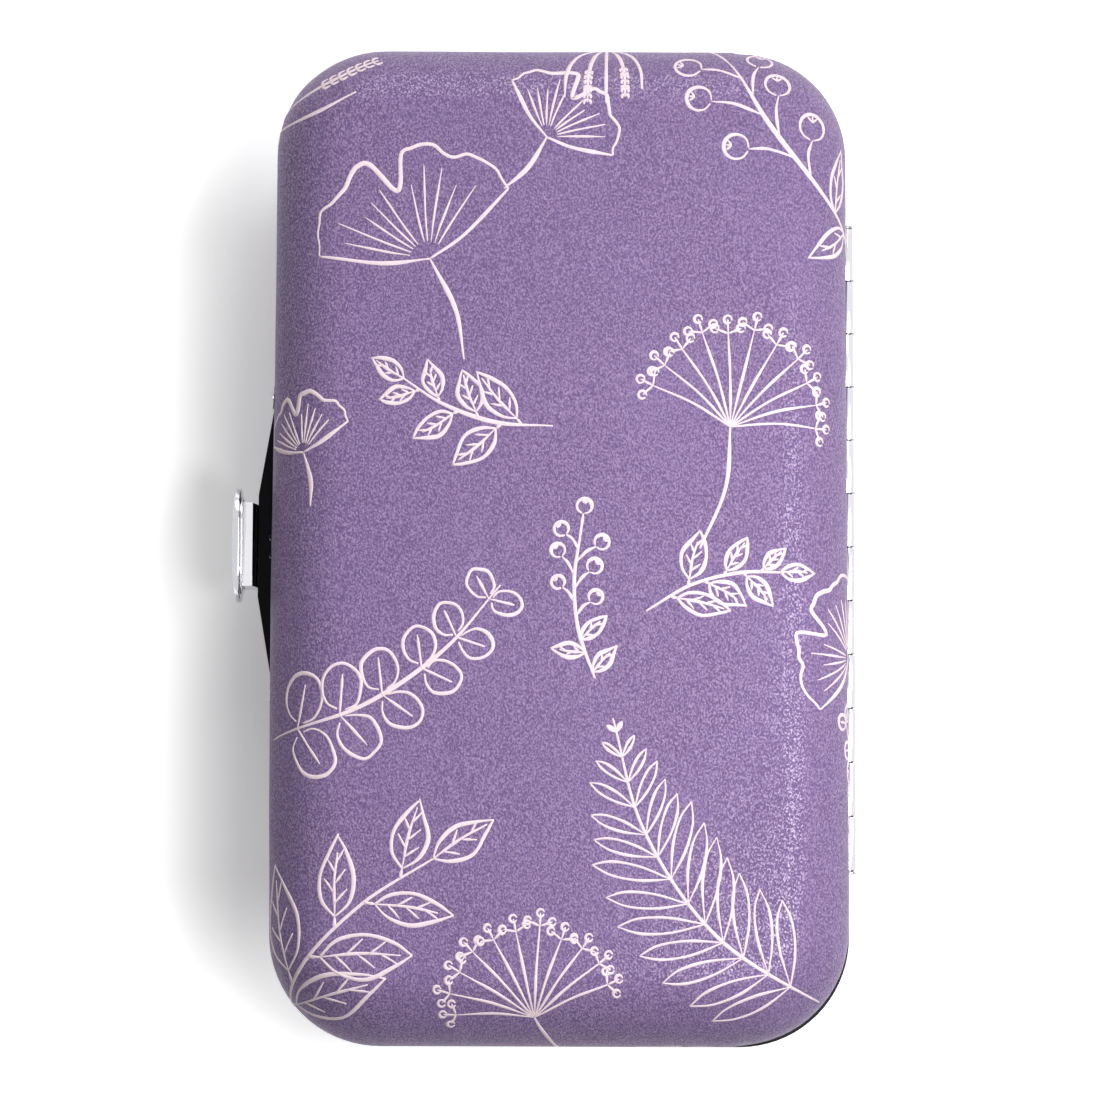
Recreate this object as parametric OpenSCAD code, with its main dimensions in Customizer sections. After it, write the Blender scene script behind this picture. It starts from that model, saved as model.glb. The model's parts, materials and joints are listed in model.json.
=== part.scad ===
// Framed hard case for a manicure set, closed, with its tools inside.
// X runs from the clasp side to the hinge side, Y along the case, Z up.
// The origin is at the centre of the base's flat underside.

/* [Case] */
// Length of the closed case along Y
case_length = 120; // [114:1:150]
// Width of the closed case along X, without clasp and hinge
case_width = 69; // [67:1:90]
// Height of the closed case, base and lid together
case_height = 24; // [23:0.5:32]
// Radius of the case's corners seen from above
corner_r = 13; // [11:0.5:18]
// Radius that rounds the top and bottom edges
edge_r = 8.5; // [7:0.1:10.2]
// Gap between the two rims when the case is closed
parting_gap = 0.1; // [0.05:0.05:0.4]

/* [Layers] */
// Thickness of the printed leatherette
cover_t = 0.8; // [0.5:0.05:1.2]
// Thickness of the foam under the leatherette
padding_t = 1; // [0.5:0.1:1.5]
// Thickness of the pressed shell
shell_t = 0.6; // [0.4:0.05:1]
// Thickness of the lid's velvet lining
lining_t = 0.8; // [0.5:0.1:1.5]
// Gap between two layers that lie on each other
layer_gap = 0.05; // [0.02:0.01:0.1]

/* [Rim frame] */
// Thickness of the rim's flange at the parting line
flange_t = 0.5; // [0.4:0.05:0.8]
// How far the flange stands out past the leatherette
flange_lip = 0.15; // [0.05:0.05:0.3]
// Thickness of the rim's upright wall
upright_t = 0.6; // [0.4:0.05:1]
// Height of the rim's upright wall
upright_h = 4; // [3:0.25:6]

/* [Hinge] */
// Number of knuckles on both leaves together
knuckles = 12; // [6:2:16]
// Length of the hinge
hinge_l = 78.2; // [40:0.1:90]
// Outer diameter of a knuckle
knuckle_d = 2; // [1.9:0.05:2.6]
// Diameter of the hinge pin
pin_d = 1; // [0.8:0.05:1.3]
// Radial running clearance of the pin in the knuckles
pin_clear = 0.04; // [0.02:0.01:0.08]
// Gap between two neighbouring knuckles
knuckle_gap = 0.22; // [0.06:0.02:0.3]
// Distance from the leatherette's side to the hinge axis
hinge_offset = 0.3; // [0.25:0.05:1]

/* [Clasp] */
// Travel of the thumb plate
press_travel = 1.3; // [1:0.1:1.35]
// Width of the thumb plate along Y
thumb_w = 13.7; // [12:0.1:16]
// Height of the thumb plate
thumb_h = 9; // [7:0.5:11]
// Thickness of the thumb plate at its rim
thumb_t = 0.6; // [0.25:0.05:0.8]
// How far the domed thumb plate's middle stands out past its ends
thumb_bulge = 0.45; // [0.3:0.05:1]
// Distance from the leatherette's side to the thumb plate's face
thumb_reach = 5.25; // [4.6:0.1:7]
// Width of the bracket that carries the thumb plate
bracket_w = 10.1; // [9:0.1:11]
// Sheet thickness of the bracket
bracket_t = 0.45; // [0.35:0.05:0.55]
// Length of the black spring strip
strip_l = 39; // [34:0.5:50]
// Height of the black spring strip's outer wall
strip_h = 3.6; // [3:0.1:4]
// Thickness of the black spring strip
strip_t = 0.4; // [0.3:0.05:0.6]
// How far the strip bows out at the clasp
strip_bow = 1.75; // [1:0.05:2]
// Width of the snap hook
hook_w = 4; // [3:0.5:5]

/* [Tools] */
// Length of the nail clipper
clipper_l = 56; // [48:1:60]
// Width of the nail clipper
clipper_w = 12.2; // [10:0.1:12.6]
// Length of the nail scissors
scissors_l = 92; // [84:1:98]
// Inner diameter of the scissors' finger rings
ring_d = 14.5; // [13:0.1:15]
// Thickness of the scissors' finger rings
ring_t = 2.8; // [2:0.1:3.2]
// Length of the tweezers
tweezers_l = 82; // [70:1:88]
// Width of the tweezers at the middle
tweezers_w = 8.6; // [7:0.1:9]
// Length of the nail file with its handle
file_l = 96; // [80:1:100]
// Width of the nail file
file_w = 7.8; // [6:0.1:8.2]
// Length of the cuticle pusher
pusher_l = 98; // [80:1:100]
// Diameter of the cuticle pusher's handle
pusher_d = 4.4; // [3.5:0.1:4.8]
// Gap between a tool and the sides of its recess
tool_gap = 0.4; // [0.2:0.1:0.6]

/* [Hidden] */
$fn = 72;

cut = 1; // how far a cut runs past what it cuts
half = case_height / 2; // height of the parting plane
side_x = case_width / 2;
end_y = case_length / 2;

// Insets of the layers from the outside of the leatherette
padding_in = cover_t + layer_gap;
shell_in = padding_in + padding_t + layer_gap;
upright_in = shell_in + shell_t + layer_gap;
inner_in = upright_in + upright_t; // inner face of the rim's upright
lining_in = upright_in;
tray_in = inner_in + 2 * layer_gap;

// How far in from the side a layer's face lies at height z in the base half
function inset_at(inset, z) =
  z < edge_r ? edge_r - sqrt(pow(edge_r - inset, 2) - pow(edge_r - z, 2)) : inset;
// The same for the inner face of the rim's upright
function inner_at(z) = inset_at(upright_in, z) + upright_t;

// Heights in the base half, which the lid mirrors
flange_top = half - parting_gap / 2;
flange_z = flange_top - flange_t;
upright_z = flange_top - upright_h;
layer_top = flange_z - layer_gap;

// Hinge
knuckle_r = knuckle_d / 2;
axis_x = side_x + hinge_offset;
axis_z = half;
pitch = hinge_l / knuckles;
leaf_sink = 0.02; // keeps a leaf's face off the tangent of its knuckles
leaf_z = axis_z - knuckle_r + leaf_sink;
leaf_inner_x = side_x - upright_in + layer_gap;
leaf_side_gap = 0.2; // from a leaf's edge to the other leaf's knuckles
leaf_outer_x = axis_x - knuckle_r - leaf_side_gap;
hinge_end_gap = 0.7; // from the knuckles' ends to the end of their slot
stake_r = knuckle_r * 0.75; // the pin's staked ends
stake_t = 0.3;

// Clasp, on the side that faces -X
strip_in_x = -side_x - layer_gap; // the strip's inner face at its ends
strip_mid_x = strip_in_x - strip_bow - strip_t; // its outer face at the middle
strip_top = flange_top;
strip_z = strip_top - strip_h;
strip_mid_z = strip_top - strip_h / 2 - 0.3;
strip_pad_l = 3; // flat length at each end
strip_flat_l = 12.4; // flat length at the middle
strip_rivet_y = strip_l / 2 - strip_pad_l / 2;
strip_lip_x = -side_x + upright_in - layer_gap - press_travel - 0.1; // inner edge of its top flange
strip_end_gap = 0.2; // from the strip's ends to the rim's flange
thumb_x = -side_x - thumb_reach; // the thumb plate's outermost point
thumb_back_x = thumb_x + thumb_bulge + thumb_t;
backing_t = 0.3;
backing_in = 1; // how far the backing is drawn in from the thumb plate's rim
backing_x = thumb_back_x + backing_t; // where the bracket meets the backing
thumb_r = thumb_h / 2 - 0.5; // leaves 1 mm of its ends straight
bracket_x = strip_mid_x - layer_gap; // the bracket's face on the strip
bracket_top = half + 1.9;
lip_l = 1.15; // the bracket's flat top, from the backing inwards
tab_z = strip_z + 0.2; // lower edge of the bracket's tab
cheek_t = 0.35; // the bracket's sides
cheek_in = 0.05; // how far the sides are drawn in from the sheet's outside
hook_t = 0.45;
hook_x = -side_x + inner_in + 1.35; // the face of the hook's upright that the catch faces
hook_foot_z = flange_z - layer_gap - hook_t;
hook_foot_x = strip_mid_x + strip_t + 0.3;
hook_top = half + 3.8;
barb_z = half + 2.2;
barb_reach = 1.15;
catch_t = 0.6;
catch_gap = 0.1; // between the barb and the catch's ledge
catch_window_w = hook_w + 1.2;
catch_ear_w = 1.9;
catch_w = catch_window_w + 2 * catch_ear_w;
catch_z = half + parting_gap / 2 + flange_t + layer_gap;
catch_top = half + parting_gap / 2 + upright_h - layer_gap;
catch_x = -side_x + inner_at(case_height - catch_top) + layer_gap;
notch_gap = 0.3; // around the hook's foot where it goes through the base's wall
notch_w = hook_w + 2 * notch_gap;
notch_z = hook_foot_z - notch_gap;
rivet_r = 0.5;
rivet_head_r = 0.95;
rivet_head_t = 0.3;
rivet_clear = 0.04;
bracket_rivet_y = 2.6;
hook_rivet_y = hook_w / 2 - 0.9;
hook_rivet_x = (strip_lip_x + strip_mid_x + strip_t) / 2;
catch_rivet_y = (catch_window_w + catch_ear_w) / 2;
catch_rivet_z = (catch_z + catch_top) / 2;
catch_rivet_head_t = 0.25;

// Tool tray and tools; a wall here is what is left of the tray beside a recess
tray_top = layer_top;
tray_foot_z = shell_in + shell_t + layer_gap;
tray_foot_in = 1; // how far the foot stays off the shell's rounding
tray_side_x = side_x - tray_in;
tray_end_y = end_y - tray_in;
trough_r = 11; // finger trough across the slim tools
trough_y = 14;
trough_depth = 5;

// Nail clipper
arm_t = 1.3;
arm_h = 2.5; // from an arm's belly up to its rear end
arm_gap = 0.1; // between the two arms at the rear
belly_l = 25.2; // from the jaws to where an arm lies on its belly
jaw_open = 2.2; // between the arms at the jaws
clipper_mid_z = arm_h + arm_t; // the plane between the arms
clipper_end_r = 3;
lever_t = 1.5;
lever_rise = 0.2; // how much thicker the lever is at the post than at its end
lever_in = 0.6; // how far the lever is drawn in from the arms' edges
post_back = 9.5; // from the jaws to the post
post_r = 1.5;
post_clear = 0.2;
post_foot_r = 2.4;
post_foot_t = 0.5;
post_head_r = 2;
post_head_t = 0.7;
post_gap = 0.1; // from the foot and the head to what they hold

// Nail scissors
blade_t = 1.5;
blade_gap = 0.05;
blade_l = 38.6; // from the pivot to the tips
blade_root_r = 4.3; // round part at the pivot
ring_major = (ring_d + ring_t) / 2;
ring_x = ring_major + 1.45; // from the middle to a ring's centre
ring_room = tool_gap + 0.4;
ring_recess_r = ring_major + ring_t / 2 + ring_room;
pivot_recess_r = blade_root_r + tool_gap + 0.6;
screw_r = 1.3;
screw_clear = 0.05;
screw_head_r = 2.6;
screw_head_t = 0.8;
screw_tail_r = 1.9;
screw_tail_t = 0.58;
screw_gap = 0.02; // from the screw's head and tail to the blades

// Tweezers
tweezer_t = 1;
tweezer_open = 4.2; // between the arms at the grip
tweezer_nose = 1.2; // half width at the tips
tweezer_tail_gap = 0.04; // between the arms at the tail
tweezer_room = tool_gap + 0.3;

// Nail file
file_t = 1.2;
file_handle_l = 34;
file_handle_t = 2.6;
tang_w = 4;
tang_y = 6; // from the handle's end to the tang's
tang_clear = 0.05;

// Cuticle pusher
pusher_handle_l = 56;
pusher_neck_r = 1.1;
spade_w = 4.2;
spade_t = 0.9;

// Walls that are left of the tray beside the recesses
pusher_wall = 0.95; // to the tray's side
file_wall = 1.4; // to the pusher
tweezer_wall = 3.9; // to the file
ring_wall = 1.75; // from the right ring to the file
clipper_wall = 1.2; // to the scissors' pivot and to the tray's end
ring_end_wall = 1.8;
tweezer_end_wall = 1.7;
file_end = 7; // from the tray's end to the file's handle

// Places of the tools: first across the tray from the hinge side, then along it, then up
pusher_x = tray_side_x - pusher_wall - tool_gap - pusher_d / 2;
file_x = pusher_x - pusher_d / 2 - file_wall - 2 * tool_gap - file_w / 2;
tweezers_x = file_x - file_w / 2 - tool_gap - tweezer_wall - tweezer_room - tweezers_w / 2;
scissors_x = file_x - file_w / 2 - tool_gap - ring_wall - ring_recess_r - ring_x;
clipper_x = scissors_x - pivot_recess_r - clipper_wall - tool_gap - clipper_w / 2;
clipper_y = tray_end_y - clipper_wall - tool_gap - clipper_l; // its rear end
scissors_y = ring_end_wall + ring_room - tray_end_y; // the rings' lower end
ring_y = scissors_y + ring_major + ring_t / 2;
pivot_y = scissors_y + scissors_l - blade_l;
tweezers_y = tray_end_y - tweezer_end_wall - tweezer_room - tweezers_l;
file_y = file_end - tray_end_y;
pusher_y = -pusher_l / 2;
clipper_z = 4.2;
scissors_z = 7;
tweezers_z = 5.2;
file_z = 8.6;
pusher_z = 7.4;

// Places its children in the lid, as they would stand in the base
module in_lid() {
  translate([0, 0, case_height]) mirror([0, 0, 1]) children();
}

// The case's outline seen from above, drawn in by inset
module outline(inset) {
  r = corner_r - inset;
  square([case_width - 2 * inset, case_length - 2 * corner_r], center = true);
  square([case_width - 2 * corner_r, case_length - 2 * inset], center = true);
  for (x = [-1, 1], y = [-1, 1])
    translate([x * (side_x - corner_r), y * (end_y - corner_r)]) circle(r);
}

// Section across a straight stretch of the base half, floor and both walls
module straight_section(span, inset, top) {
  intersection() {
    union() {
      translate([-span / 2 + edge_r, inset]) square([span - 2 * edge_r, top]);
      translate([-span / 2 + inset, edge_r]) square([span - 2 * inset, top]);
      for (s = [-1, 1]) translate([s * (span / 2 - edge_r), edge_r]) circle(edge_r - inset);
    }
    translate([-span / 2, inset]) square([span, top - inset]);
  }
}

// Section from a corner's centre outwards
module corner_section(inset, top) {
  intersection() {
    union() {
      translate([0, inset]) square([corner_r - edge_r, top]);
      translate([0, edge_r]) square([corner_r - inset, top]);
      translate([corner_r - edge_r, edge_r]) circle(edge_r - inset);
    }
    translate([0, inset]) square([corner_r, top - inset]);
  }
}

// The base half as a solid block with rounded lower edges, drawn in by inset, up to top
module block(inset, top) {
  rotate([90, 0, 0])
    linear_extrude(case_length - 2 * corner_r, center = true) straight_section(case_width, inset, top);
  rotate([90, 0, 90])
    linear_extrude(case_width - 2 * corner_r, center = true) straight_section(case_length, inset, top);
  for (k = [0 : 3])
    translate([(k == 0 || k == 3 ? 1 : -1) * (side_x - corner_r), (k < 2 ? 1 : -1) * (end_y - corner_r), 0])
      rotate([0, 0, 90 * k]) rotate_extrude(angle = 90) corner_section(inset, top);
}

// One layer of the base half, open at the parting line
module layer(inset, thickness, top) {
  difference() {
    block(inset, top);
    block(inset + thickness, top + cut);
  }
}

// Room for the hinge's knuckles and leaves in the layers
module hinge_slot() {
  l = hinge_l + 2 * hinge_end_gap;
  translate([leaf_inner_x - 2 * layer_gap, -l / 2, axis_z - knuckle_r - layer_gap])
    cube([side_x, l, half]);
}

// The way through the base's wall for the hook's foot
module clasp_notch() {
  translate([-side_x - cut, -notch_w / 2, notch_z]) cube([tray_in + 2 * cut, notch_w, half]);
}

// Holes for the rivets that hold the strip's ends
module strip_rivet_holes() {
  for (s = [-1, 1])
    translate([-side_x - cut, s * strip_rivet_y, strip_mid_z])
      rotate([0, 90, 0]) cylinder(r = rivet_r + rivet_clear, h = tray_in + 2 * cut);
}

module base_layer(inset, thickness) {
  difference() {
    layer(inset, thickness, layer_top);
    hinge_slot();
    clasp_notch();
    strip_rivet_holes();
  }
}

module lid_layer(inset, thickness) {
  in_lid() difference() {
    layer(inset, thickness, layer_top);
    hinge_slot();
  }
}

// Section of the rim's upright, from a corner's centre outwards; its foot follows the shell's rounding
module upright_section() {
  steps = 4;
  rise = max(edge_r, upright_z + layer_gap) - upright_z;
  levels = [for (i = [0 : steps]) upright_z + rise * i / steps];
  foot = [for (z = levels) [corner_r - inset_at(upright_in, z), z]];
  top = [corner_r - upright_in, flange_top];
  polygon(concat(foot, [top, top - [upright_t, 0]], [for (i = [steps : -1 : 0]) foot[i] - [upright_t, 0]]));
}

// The rim's upright wall all round the base half
module upright() {
  x = side_x - corner_r;
  y = end_y - corner_r;
  for (s = [0, 180]) rotate([0, 0, s]) {
    translate([x, y, 0]) rotate([90, 0, 0]) linear_extrude(2 * y) upright_section();
    translate([-x, y, 0]) rotate([90, 0, 90]) linear_extrude(2 * x) upright_section();
    translate([x, y, 0]) rotate_extrude(angle = 90) upright_section();
    translate([-x, y, 0]) rotate([0, 0, 90]) rotate_extrude(angle = 90) upright_section();
  }
}

// Rim frame of the base half: an upright inside the layers and a flange over their edges
module rim_frame() {
  difference() {
    union() {
      translate([0, 0, flange_z]) linear_extrude(flange_t) difference() {
        outline(-flange_lip);
        outline(inner_in);
      }
      upright();
    }
    translate([leaf_outer_x, -hinge_l / 2 - hinge_end_gap, flange_z - cut])
      cube([side_x, hinge_l + 2 * hinge_end_gap, half]);
  }
}

// The base rim's flange gives way to the strip's flange beside the clasp
module strip_slot() {
  l = strip_l + 2 * strip_end_gap;
  translate([-side_x - cut, -l / 2, flange_z - layer_gap / 2]) cube([upright_in + cut, l, half]);
}

// A hinge leaf of the base half; first is the number of its first knuckle
module hinge_leaf(first) {
  l = pitch - knuckle_gap;
  leaf_t = flange_z - leaf_z;
  neck_x = leaf_outer_x - layer_gap;
  difference() {
    union() {
      translate([leaf_inner_x, -hinge_l / 2, leaf_z]) cube([leaf_outer_x - leaf_inner_x, hinge_l, leaf_t]);
      for (k = [first : 2 : knuckles - 1]) translate([0, hinge_l / 2 - (k + 0.5) * pitch, 0]) {
        translate([neck_x, -l / 2, leaf_z]) cube([axis_x - neck_x, l, leaf_t]);
        translate([axis_x, l / 2, axis_z]) rotate([90, 0, 0]) cylinder(r = knuckle_r, h = l);
      }
    }
    translate([axis_x, hinge_l / 2 + cut, axis_z])
      rotate([90, 0, 0]) cylinder(r = pin_d / 2 + pin_clear, h = hinge_l + 2 * cut);
  }
}

module base_cover() { color([0.5, 0.42, 0.6]) base_layer(0, cover_t); }
module base_padding() { color([0.85, 0.84, 0.8]) base_layer(padding_in, padding_t); }
module base_shell() { color([0.25, 0.25, 0.27]) base_layer(shell_in, shell_t); }
module lid_cover() { color([0.6, 0.52, 0.69]) lid_layer(0, cover_t); }
module lid_padding() { color([0.85, 0.84, 0.8]) lid_layer(padding_in, padding_t); }
module lid_shell() { color([0.25, 0.25, 0.27]) lid_layer(shell_in, shell_t); }

module base_frame() {
  color([0.05, 0.05, 0.06]) difference() {
    rim_frame();
    strip_slot();
    clasp_notch();
    strip_rivet_holes();
  }
}

module lid_frame() {
  color([0.05, 0.05, 0.06]) difference() {
    in_lid() rim_frame();
    for (s = [-1, 1])
      translate([catch_x - upright_t - cut, s * catch_rivet_y, catch_rivet_z])
        rotate([0, 90, 0]) cylinder(r = rivet_r + rivet_clear, h = upright_t + 2 * cut);
  }
}

// The lining fills the lid's inside from the rim's upright inwards
module lid_lining() {
  color([0.09, 0.08, 0.1]) in_lid() layer(lining_in, lining_t, upright_z - layer_gap);
}

module base_hinge_leaf() { color([0.8, 0.8, 0.82]) hinge_leaf(1); }
module lid_hinge_leaf() { color([0.8, 0.8, 0.82]) in_lid() hinge_leaf(0); }

module hinge_pin() {
  l = hinge_l + knuckle_gap;
  color([0.7, 0.7, 0.72]) translate([axis_x, 0, axis_z]) rotate([90, 0, 0]) {
    cylinder(r = pin_d / 2, h = l, center = true);
    for (s = [-1, 1]) translate([0, 0, s * (l + stake_t) / 2])
      cylinder(r = stake_r, h = stake_t, center = true);
  }
}

// A rivet along +X with a head at each end; x0 and x1 are the faces that it clamps
module rivet_x(x0, x1, y, z) {
  translate([x0 - rivet_head_t, y, z]) rotate([0, 90, 0]) {
    cylinder(r = rivet_head_r, h = rivet_head_t);
    cylinder(r = rivet_r, h = x1 - x0 + 2 * rivet_head_t);
    translate([0, 0, x1 - x0 + rivet_head_t]) cylinder(r = rivet_head_r, h = rivet_head_t);
  }
}

// Outline of the strip's bowed wall, closed on the case's side by the points of inner
module strip_outline(inner) {
  a = strip_l / 2;
  b = a - strip_pad_l;
  c = strip_flat_l / 2;
  t = strip_t;
  d = strip_bow + t;
  polygon(concat(inner, [[-t, a], [-t, b], [-d, c], [-d, -c], [-t, -b], [-t, -a]]));
}

// Black angle strip of spring steel, riveted to the base at its ends and bowed out to the clasp
module latch_spring() {
  a = strip_l / 2;
  b = a - strip_pad_l;
  c = strip_flat_l / 2;
  d = strip_bow;
  lip = strip_lip_x - strip_in_x;
  color([0.06, 0.06, 0.07]) difference() {
    translate([strip_in_x, 0, 0]) {
      translate([0, 0, strip_z]) linear_extrude(strip_h)
        strip_outline([[0, -a], [0, -b], [-d, -c], [-d, c], [0, b], [0, a]]);
      translate([0, 0, flange_z]) linear_extrude(flange_t) strip_outline([[lip, -a], [lip, a]]);
    }
    strip_rivet_holes();
    for (s = [-1, 1]) {
      translate([strip_mid_x - cut, s * bracket_rivet_y, strip_mid_z])
        rotate([0, 90, 0]) cylinder(r = rivet_r + rivet_clear, h = strip_t + 2 * cut);
      translate([hook_rivet_x, s * hook_rivet_y, flange_z - cut])
        cylinder(r = rivet_r + rivet_clear, h = flange_t + 2 * cut);
    }
  }
}

module latch_spring_rivets() {
  x0 = strip_in_x - strip_t - layer_gap;
  x1 = -side_x + inner_at(strip_mid_z - rivet_head_r) + layer_gap;
  color([0.75, 0.75, 0.77]) for (s = [-1, 1]) rivet_x(x0, x1, s * strip_rivet_y, strip_mid_z);
}

// The thumb plate's outline seen along X, drawn in by inset
module thumb_outline(inset) {
  w = thumb_w - 2 * inset;
  h = thumb_h - 2 * inset;
  r = thumb_r - inset;
  square([w - 2 * r, h], center = true);
  square([w, h - 2 * r], center = true);
  for (s = [-1, 1], u = [-1, 1]) translate([s * (w / 2 - r), u * (h / 2 - r)]) circle(r);
}

// Thumb plate, domed outwards
module thumb_plate() {
  dome_r = (pow(thumb_w / 2, 2) + pow(thumb_bulge, 2)) / (2 * thumb_bulge);
  color([0.86, 0.86, 0.88]) intersection() {
    translate([thumb_x, 0, half]) rotate([90, 0, 90])
      linear_extrude(thumb_bulge + thumb_t) thumb_outline(0);
    translate([thumb_x + dome_r, 0, half]) sphere(r = dome_r, $fn = 180);
  }
}

module thumb_backing() {
  color([0.93, 0.93, 0.94]) translate([thumb_back_x, 0, half])
    rotate([90, 0, 90]) linear_extrude(backing_t) thumb_outline(backing_in);
}

// Side view of the bracket's sheet: a flat top at the thumb plate, a slope and a tab on the strip
module bracket_side() {
  t = bracket_t;
  x0 = backing_x;
  x1 = backing_x + lip_l;
  polygon([
    [x0, bracket_top - t], [x1 - t / 2, bracket_top - t], [bracket_x - t, strip_top], [bracket_x - t, tab_z],
    [bracket_x, tab_z], [bracket_x, strip_top], [x1, bracket_top], [x0, bracket_top]
  ]);
}

// Chrome bracket between the thumb plate and the strip, with closed sides
module latch_bracket() {
  x0 = backing_x;
  x1 = backing_x + lip_l - 2 * cheek_in;
  x2 = bracket_x - cheek_in;
  top = bracket_top - cheek_in;
  color([0.83, 0.83, 0.85]) difference() {
    union() {
      translate([0, bracket_w / 2, 0]) rotate([90, 0, 0]) linear_extrude(bracket_w) bracket_side();
      for (s = [-1, 1]) translate([0, (s * (bracket_w - cheek_t) + cheek_t) / 2, 0]) rotate([90, 0, 0])
        linear_extrude(cheek_t)
          polygon([[x0, strip_z + 1], [x0, top], [x1, top], [x2, strip_top], [x2, tab_z + cheek_in]]);
    }
    for (s = [-1, 1]) translate([bracket_x - bracket_t - cut, s * bracket_rivet_y, strip_mid_z])
      rotate([0, 90, 0]) cylinder(r = rivet_r + rivet_clear, h = bracket_t + 2 * cut);
  }
}

// Snap hook of spring steel: a foot under the strip's flange, an upright and a barb that faces the clasp
module latch_hook() {
  foot_l = hook_x + hook_t - hook_foot_x;
  barb = [[hook_t / 2, barb_z], [-barb_reach, barb_z], [-barb_reach, barb_z + 0.2], [hook_t / 2, hook_top]];
  color([0.6, 0.62, 0.66]) difference() {
    union() {
      translate([hook_foot_x, -hook_w / 2, hook_foot_z]) cube([foot_l, hook_w, hook_t]);
      translate([hook_x, -hook_w / 2, hook_foot_z]) cube([hook_t, hook_w, hook_top - hook_foot_z]);
      translate([hook_x, hook_w / 2, 0]) rotate([90, 0, 0]) linear_extrude(hook_w) polygon(barb);
    }
    for (s = [-1, 1]) translate([hook_rivet_x, s * hook_rivet_y, hook_foot_z - cut])
      cylinder(r = rivet_r + rivet_clear, h = hook_t + 2 * cut);
  }
}

module latch_rivets() {
  color([0.75, 0.75, 0.77]) for (s = [-1, 1]) {
    translate([bracket_x - bracket_t - layer_gap, s * bracket_rivet_y, strip_mid_z]) rotate([0, 90, 0]) {
      translate([0, 0, -rivet_head_t]) cylinder(r = rivet_head_r, h = rivet_head_t);
      cylinder(r = rivet_r, h = bracket_t + strip_t + 2 * layer_gap);
    }
    translate([hook_rivet_x, s * hook_rivet_y, hook_foot_z])
      cylinder(r = rivet_r, h = flange_top - hook_foot_z);
  }
}

// Plate on the lid's rim with a window whose ledge the hook's barb holds down
module lid_catch() {
  ledge_top = barb_z - catch_gap;
  color([0.78, 0.78, 0.8]) difference() {
    translate([catch_x, -catch_w / 2, catch_z]) cube([catch_t, catch_w, catch_top - catch_z]);
    translate([catch_x - cut, -catch_window_w / 2, ledge_top])
      cube([catch_t + 2 * cut, catch_window_w, catch_top - ledge_top + cut]);
    for (s = [-1, 1]) translate([catch_x - cut, s * catch_rivet_y, catch_rivet_z])
      rotate([0, 90, 0]) cylinder(r = rivet_r + rivet_clear, h = catch_t + 2 * cut);
  }
}

// Rivets flush with the outside of the rim's upright, with a head on the catch
module lid_catch_rivets() {
  clamped = upright_t + catch_t + layer_gap;
  color([0.75, 0.75, 0.77]) for (s = [-1, 1])
    translate([catch_x - layer_gap - upright_t, s * catch_rivet_y, catch_rivet_z]) rotate([0, 90, 0]) {
      cylinder(r = rivet_r, h = clamped + catch_rivet_head_t);
      translate([0, 0, clamped + layer_gap]) cylinder(r = rivet_head_r, h = catch_rivet_head_t);
    }
}

// Side view of a clipper arm, from its rear end to its jaw, bent towards the other arm at the jaw
module clipper_arm_side() {
  l = clipper_l;
  belly_y = l - belly_l;
  back_z = clipper_mid_z - arm_gap / 2;
  jaw_z = clipper_mid_z - jaw_open / 2;
  polygon([
    [0, arm_h - 0.3], [4, arm_h], [belly_y, 0], [l - 8, 0], [l - 3, 0.6], [l, jaw_z], [l - 1.2, jaw_z],
    [l - 4.4, arm_t + 0.5], [l - 9, arm_t], [belly_y, arm_t], [5, back_z], [0, back_z]
  ]);
}

// Plan of the clipper, a strip whose rear end has round corners
module clipper_plan(width) {
  r = clipper_end_r;
  translate([-width / 2, r]) square([width, clipper_l - r]);
  translate([r - width / 2, 0]) square([width - 2 * r, 2 * r]);
  for (s = [-1, 1]) translate([s * (width / 2 - r), r]) circle(r);
}

module clipper_arm() {
  intersection() {
    translate([-clipper_w / 2, 0, 0]) rotate([90, 0, 90]) linear_extrude(clipper_w) clipper_arm_side();
    linear_extrude(case_height) clipper_plan(clipper_w);
  }
}

module at_clipper() {
  translate([clipper_x, clipper_y, clipper_z]) children();
}

module clipper_post_hole() {
  translate([0, clipper_l - post_back, -cut]) cylinder(r = post_r + post_clear, h = case_height);
}

module clipper_lower_arm() {
  color([0.8, 0.81, 0.83]) at_clipper() difference() {
    clipper_arm();
    clipper_post_hole();
  }
}

module clipper_upper_arm() {
  color([0.8, 0.81, 0.83]) at_clipper() difference() {
    translate([0, 0, 2 * clipper_mid_z]) mirror([0, 0, 1]) clipper_arm();
    clipper_post_hole();
  }
}

// Side view of the lever, folded down over the upper arm, from its free end to the post
module clipper_lever_side() {
  l = clipper_l - clipper_end_r;
  waist_y = l * 0.6;
  polygon([
    [1, 1.2], [2, 2.2], [waist_y, lever_t + 1], [l - 3, lever_t], [l, lever_t - 0.4], [l, 0.1],
    [l - 9, 0], [l - 14, 0.3], [waist_y, 1], [3, 0.9]
  ]);
}

module clipper_lever() {
  color([0.86, 0.87, 0.89]) at_clipper() difference() {
    intersection() {
      translate([-clipper_w / 2, 0, 2 * clipper_mid_z + post_gap]) rotate([90, 0, 90])
        linear_extrude(clipper_w) clipper_lever_side();
      linear_extrude(case_height) clipper_plan(clipper_w - 2 * lever_in);
    }
    clipper_post_hole();
  }
}

// Post through the arms and the lever, with a foot under the lower arm and a head over the lever
module clipper_post() {
  foot_z = -post_gap - post_foot_t;
  head_z = 2 * clipper_mid_z + lever_t + lever_rise + 2 * post_gap;
  color([0.72, 0.73, 0.75]) at_clipper() translate([0, clipper_l - post_back, 0]) {
    translate([0, 0, foot_z]) cylinder(r = post_foot_r, h = post_foot_t);
    translate([0, 0, foot_z]) cylinder(r = post_r, h = head_z + post_head_t / 2 - foot_z);
    translate([0, 0, head_z]) cylinder(r = post_head_r, h = post_head_t);
  }
}

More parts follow.
